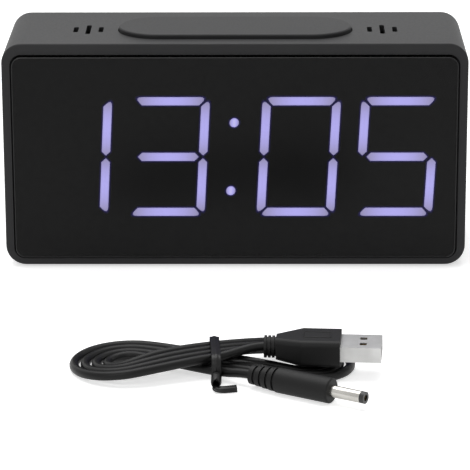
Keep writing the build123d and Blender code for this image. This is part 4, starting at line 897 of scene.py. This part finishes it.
@dataclass(frozen=True)
class LedDisplay:
    """The lit segments of the four digits and the two dots between them, just behind the smoked lens."""

    digit_height: float = 40.0
    digit_width: float = 25.34
    segment_width: float = 2.75
    segment_gap: float = 0.6
    end_gap: float = 0.3
    middle_end_gap: float = 0.95
    corner: float = 0.4
    sharp_corner: float = 1.1
    sharp_cosine: float = 0.2
    corner_pull: float = 2.4
    slant: float = 0.052
    first_digit_shift: float = 0.33
    digit_pitch: float = 31.905
    middle_pitch: float = 42.3
    shift: float = -0.55
    middle_z: float = 36.55
    colon_spacing: float = 22.9
    colon_diameter: float = 3.05
    colon_shift: float = -0.3
    colon_sides: int = 16
    front_y: float = -21.35
    depth: float = 2.0
    spill: float = 0.6
    lip_steps: Triple = (0.03, 0.025, 0.01)
    lip_glow: float = 0.22
    least_glow: float = 0.3
    edge_glow: float = 0.7
    edge_rise: float = 2.2
    end_fall: float = 0.9
    digit_peak: float = 0.9
    colon_peak: float = 1.0
    corner_points: int = 5
    side_parts: int = 6
    ring_count: int = 7
    spine_share: float = 0.985

    def cells(self) -> dict[str, Array]:
        """Corners of the seven segments' cells, a to g clockwise from the top with g across the middle.

        Returns:
            Corner points in the digit's own plane, by letter.
        """
        a = (self.digit_width + self.segment_gap) / 2
        b = (self.digit_height + self.segment_gap) / 2
        t = self.segment_width + self.segment_gap
        short, middle = a - self.end_gap, a - self.middle_end_gap
        top = np.array([(-short, b), (short, b), (short - t, b - t), (t - short, b - t)])
        right = np.array([(a, b), (a - t, b - t), (a - t, t / 2), (a - t / 2, 0), (a, t / 2)])
        upper = np.array([(t / 2 - middle, 0), (t - middle, t / 2), (middle - t, t / 2)])
        across, over = np.array([-1, 1]), np.array([1, -1])
        return {
            "a": top, "b": right, "c": right * over, "d": top * over,
            "e": right * -1, "f": right * across, "g": np.concatenate([upper, -upper]),
        }

    def outline(self, cell: Array, spill: float) -> Array:
        """Outline of a segment: its cell less half the gap, with sharp corners rounded more than blunt ones.

        Each side of the rounded outline is cut into equal parts, so that the glow can change along it.

        Args:
            cell: The segment's cell.
            spill: How far the outline is moved out again.

        Returns:
            The outline's points in turn.
        """
        if turning(cell) < 0:
            cell = cell[::-1]
        corners = inset(cell, self.segment_gap / 2 - spill)
        ahead, behind = np.roll(corners, -1, axis=0) - corners, np.roll(corners, 1, axis=0) - corners
        lengths = np.linalg.norm(ahead, axis=1) * np.linalg.norm(behind, axis=1)
        sharp = np.sum(ahead * behind, axis=1) > self.sharp_cosine * lengths
        radius = spill + np.where(sharp, self.sharp_corner, self.corner)
        rounded = round_corners(corners, radius, self.corner_points, self.corner_pull)[:, None]
        share = np.linspace(0, 1, self.side_parts, endpoint=False)[None, :, None]
        return (rounded * (1 - share) + np.roll(rounded, -1, axis=0) * share).reshape(-1, 2)

    def patch(self, cell: Array, centre: float, peak: float) -> Patch:
        """One lit segment: a closed block with a thin lip that fades out, and rings from edge to spine.

        Each ring is the outline drawn towards the nearest point of the segment's middle line. The glow is
        highest over the LED at the middle and falls with the distance along and across the segment.

        Args:
            cell: The segment's cell in the digit's own plane.
            centre: The digit's middle in x.
            peak: The glow over the LED.

        Returns:
            Points in millimetres, glow of each point, and faces.
        """
        outline = self.outline(cell, 0.0)
        spread = self.outline(cell, self.spill)
        middle = (outline.min(axis=0) + outline.max(axis=0)) / 2
        centred = outline - middle
        _, _, axes = np.linalg.svd(centred - centred.mean(axis=0), full_matrices=False)
        along = centred @ axes[0]
        half = float(np.max(np.abs(along)))
        reach = half - self.segment_width / 2
        spine = middle + np.outer(np.clip(along, -reach, reach), axes[0])
        share = np.linspace(0, self.spine_share, self.ring_count)[:, None, None]
        face = outline[None] * (1 - share) + spine[None] * share
        flat = np.concatenate([np.stack([outline, outline, spread, outline]), face])
        run = np.abs((face - middle) @ axes[0]) / half
        inward = smooth_step(share[..., 0] * self.edge_rise)
        across = self.edge_glow + (1 - self.edge_glow) * inward
        lit = self.least_glow + (peak - self.least_glow) * across * (1 - self.end_fall * run ** 2)
        steps = np.array([self.depth, *self.lip_steps])
        count = len(outline)
        dark = np.zeros((len(steps) - 1, count))
        glow = np.concatenate([dark, np.full((1, count), self.lip_glow), lit])
        x = centre + flat[..., 0] + self.slant * flat[..., 1]
        z = self.middle_z + flat[..., 1]
        y = np.full(x.shape, self.front_y)
        y[:len(steps)] += steps[:, None]
        points = np.stack([x, y, z], axis=-1).reshape(-1, 3)
        back = list(range(count))[::-1]
        front = list(range(len(points) - count, len(points)))
        faces = grid_faces(len(flat), count).tolist() + [back, front]
        return points, glow.ravel(), faces

    def piece(self, name: str, patches: list[Patch], node: str) -> None:
        """Join lit patches into one piece that stands for a CAD node.

        Args:
            name: The piece's name.
            patches: Points, glow and faces of each patch.
            node: The CAD node that it replaces.
        """
        piece = mesh_piece(name, *join_shapes([(points, faces) for points, _, faces in patches]))
        glow = np.concatenate([values for _, values, _ in patches]).astype(np.float32)
        piece.data.attributes.new("glow", "FLOAT", "POINT").data.foreach_set("value", glow)
        dress(piece, GLOW)
        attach(piece, Body.CLOCK.value)
        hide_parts(node)

    def dot_cell(self, side: int) -> Array:
        """Corners of a cell on a circle round the upper dot, for a side of 1, or the lower one, for -1."""
        radius = self.colon_diameter / 2 + self.segment_gap / 2
        return radius * circle(self.colon_sides) + (0.0, side * self.colon_spacing / 2)

    def build(self) -> None:
        """Make the four digits and the dots."""
        cells = self.cells()
        inner, outer = self.middle_pitch / 2, self.middle_pitch / 2 + self.digit_pitch
        middles = (self.first_digit_shift - outer, -inner, inner, outer)
        for (name, letters), x in zip(DIGITS.items(), middles):
            patches = [self.patch(cells[letter], self.shift + x, self.digit_peak) for letter in letters]
            self.piece(name + "_glow", patches, name + "_segments")
        colon_x = self.shift + self.colon_shift
        dots = [self.patch(self.dot_cell(side), colon_x, self.colon_peak) for side in (-1, 1)]
        self.piece("colon_glow", dots, "colon_dots")
        LOG.info("lit %d digits", len(DIGITS))


@dataclass(frozen=True)
class LensTrim:
    """What finishes the smoked lens: the black print on its back and the polished edge round its front."""

    middle_z: float = 36.95
    corner: float = 3.0
    print_size: Pair = (143.2, 66.9)
    print_y: float = -21.29
    print_thickness: float = 0.03
    lens_size: Pair = (143.4, 67.1)
    front_y: float = -24.85
    edge_radius: float = 0.3
    edge_skin: float = 0.015
    edge_corner_points: int = 9
    arc_points: int = 5

    def build(self) -> None:
        """Print the lens's back and polish its edge."""
        self.back_print()
        self.polished_edge()

    def back_print(self) -> None:
        """Print the black coat on the lens's back, a thin plate that hides the inside of the clock."""
        x, z = round_corners(rectangle(self.print_size), self.corner, self.arc_points).T
        count = len(x)
        back_y = np.full(count, self.print_y + self.print_thickness)
        back = np.column_stack([x, back_y, self.middle_z + z])
        points = np.concatenate([back, back - (0.0, self.print_thickness, 0.0)])
        caps = [list(range(count))[::-1], list(range(count, 2 * count))]
        coat = mesh_piece("lens_back_print", points, grid_faces(2, count).tolist() + caps, smooth=False)
        dress(coat, INK)
        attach(coat, Body.CLOCK.value)

    def polished_edge(self) -> None:
        """Give the lens's front edge its gloss: a thin quarter round carried round the lens's outline."""
        turn = np.linspace(0, np.pi / 2, self.arc_points)
        drawn_in = self.edge_radius * (1 - np.cos(turn)) - self.edge_skin
        corners = [inset(rectangle(self.lens_size), amount) for amount in drawn_in]
        rings = np.stack([round_corners(ring, self.corner, self.edge_corner_points) for ring in corners])
        count = rings.shape[1]
        depth = self.front_y - self.edge_skin + self.edge_radius * (1 - np.sin(turn))
        points = np.stack([
            rings[..., 0], np.repeat(depth[:, None], count, axis=1), self.middle_z + rings[..., 1],
        ], axis=-1).reshape(-1, 3)
        faces = grid_faces(len(turn) + 1, count) % len(points)
        edge = mesh_piece("lens_polished_edge", points, faces.tolist())
        dress(edge, EDGE)
        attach(edge, Body.CLOCK.value)


def seen_rays(tree: bpy.types.NodeTree) -> Socket:
    """Tell the rays that look at something from those that light it.

    Args:
        tree: The node tree that gets the nodes.

    Returns:
        A socket that is 1 for camera, glossy and transmission rays and 0 for all others.
    """
    rays = add(tree, "LightPath").outputs
    seen = rays["Is Camera Ray"]
    for kind in ("Is Glossy Ray", "Is Transmission Ray"):
        seen = add(tree, "Math", {0: seen, 1: rays[kind]}, operation="MAXIMUM").outputs[0]
    return seen


@dataclass(frozen=True)
class Softbox:
    """A soft square lamp: where it hangs, its side and the point that it shines at, all in metres."""

    name: str
    place: Triple
    side: float
    watts: float
    aim: Triple = (0.0, 0.0, 0.03)

    def build(self) -> None:
        """Hang the lamp and turn it to its aim."""
        light = bpy.data.lights.new(self.name, "AREA")
        light.size = self.side
        light.energy = self.watts
        lamp = bpy.data.objects.new(self.name, light)
        toward = (Vector(self.aim) - Vector(self.place)).to_track_quat("-Z", "Y")
        lamp.matrix_world = Matrix.Translation(Vector(self.place)) @ toward.to_matrix().to_4x4()
        bpy.context.scene.collection.objects.link(lamp)


@dataclass(frozen=True)
class Studio:
    """The white floor, the soft lights and the camera."""

    camera_mm: Triple = (9.78, -908.63, 284.23)
    pitch_degrees: float = 17.174
    yaw_degrees: float = 0.6395
    roll_degrees: float = 0.208
    lens_mm: float = 217.3
    sensor_mm: float = 36.0
    clip_m: Pair = (0.05, 20.0)
    floor_mm: Pair = (8000.0, 8000.0)
    floor_z_mm: float = -0.02
    floor_hex: str = "#f4f4f4"
    floor_roughness: float = 0.9
    floor_specular: float = 0.1
    floor_white: float = 0.6
    world_strength: float = 0.3
    lamps: tuple[Softbox, ...] = (
        Softbox("top_softbox", (-0.2, 0.25, 1.2), 1.2, 13.0),
        Softbox("front_softbox", (-0.5, -1.1, 0.7), 0.8, 2.6),
    )

    def camera(self) -> None:
        """Set up the camera that looks at the clock as the photograph does."""
        degrees = (self.pitch_degrees, self.yaw_degrees, self.roll_degrees)
        pitch, yaw, roll = (math.radians(angle) for angle in degrees)
        level = math.cos(pitch)
        forward = Vector((-math.sin(yaw) * level, math.cos(yaw) * level, -math.sin(pitch)))
        right = Matrix.Rotation(roll, 3, forward) @ forward.cross(Vector((0, 0, 1))).normalized()
        up = right.cross(forward)
        camera = bpy.data.objects.new("camera", bpy.data.cameras.new("camera"))
        camera.data.lens = self.lens_mm
        camera.data.sensor_width = self.sensor_mm
        camera.data.clip_start, camera.data.clip_end = self.clip_m
        axes = Matrix((right, up, -forward)).transposed().to_4x4()
        camera.matrix_world = Matrix.Translation(Vector(self.camera_mm) * MM) @ axes
        bpy.context.scene.collection.objects.link(camera)
        bpy.context.scene.camera = camera

    def floor(self) -> None:
        """Lay a wide floor that the camera sees as white, with the soft shadow of the clock on it."""
        points = np.column_stack([rectangle(self.floor_mm), np.full(4, self.floor_z_mm)])
        floor = mesh_piece("floor", points, [[0, 1, 2, 3]], smooth=False)
        card = Surface("floor_matt_white_card", {
            "Base Color": linear(self.floor_hex),
            "Roughness": self.floor_roughness,
            "Specular IOR Level": self.floor_specular,
            "Emission Color": (*[self.floor_white] * 3, 1.0),
        })
        card.drive("Emission Strength", seen_rays(card.tree))
        floor.data.materials.append(card.material)

    def world(self) -> None:
        """Light the scene evenly from all round, and show the camera and the gloss a white background."""
        world = bpy.data.worlds.new("studio")
        bpy.context.scene.world = world
        world.use_nodes = True
        tree = world.node_tree
        tree.nodes.clear()
        level = add(tree, "MapRange", {
            "Value": seen_rays(tree), "To Min": self.world_strength, "To Max": 1.0,
        })
        sky = add(tree, "Background", {"Strength": level.outputs["Result"], "Color": linear("#ffffff")})
        add(tree, "OutputWorld", {"Surface": sky.outputs["Background"]})

    def build(self) -> None:
        """Set up everything that isn't part of the object."""
        self.camera()
        self.floor()
        self.world()
        for lamp in self.lamps:
            lamp.build()
        bpy.context.scene.view_settings.view_transform = "Standard"
        LOG.info("studio is set up")


def main() -> None:
    """Dress the clock, lay its cable and set up the studio."""
    logging.basicConfig(level=logging.INFO, format="%(name)s: %(message)s")
    dress_nodes()
    LedDisplay().build()
    LensTrim().build()
    hank = CordHank()
    cord = hank.build()
    tie = TwistTie(hank).build()
    grip_frame = GripFrame(hank).build()
    Studio().build()


if __name__ == "__main__":
    main()
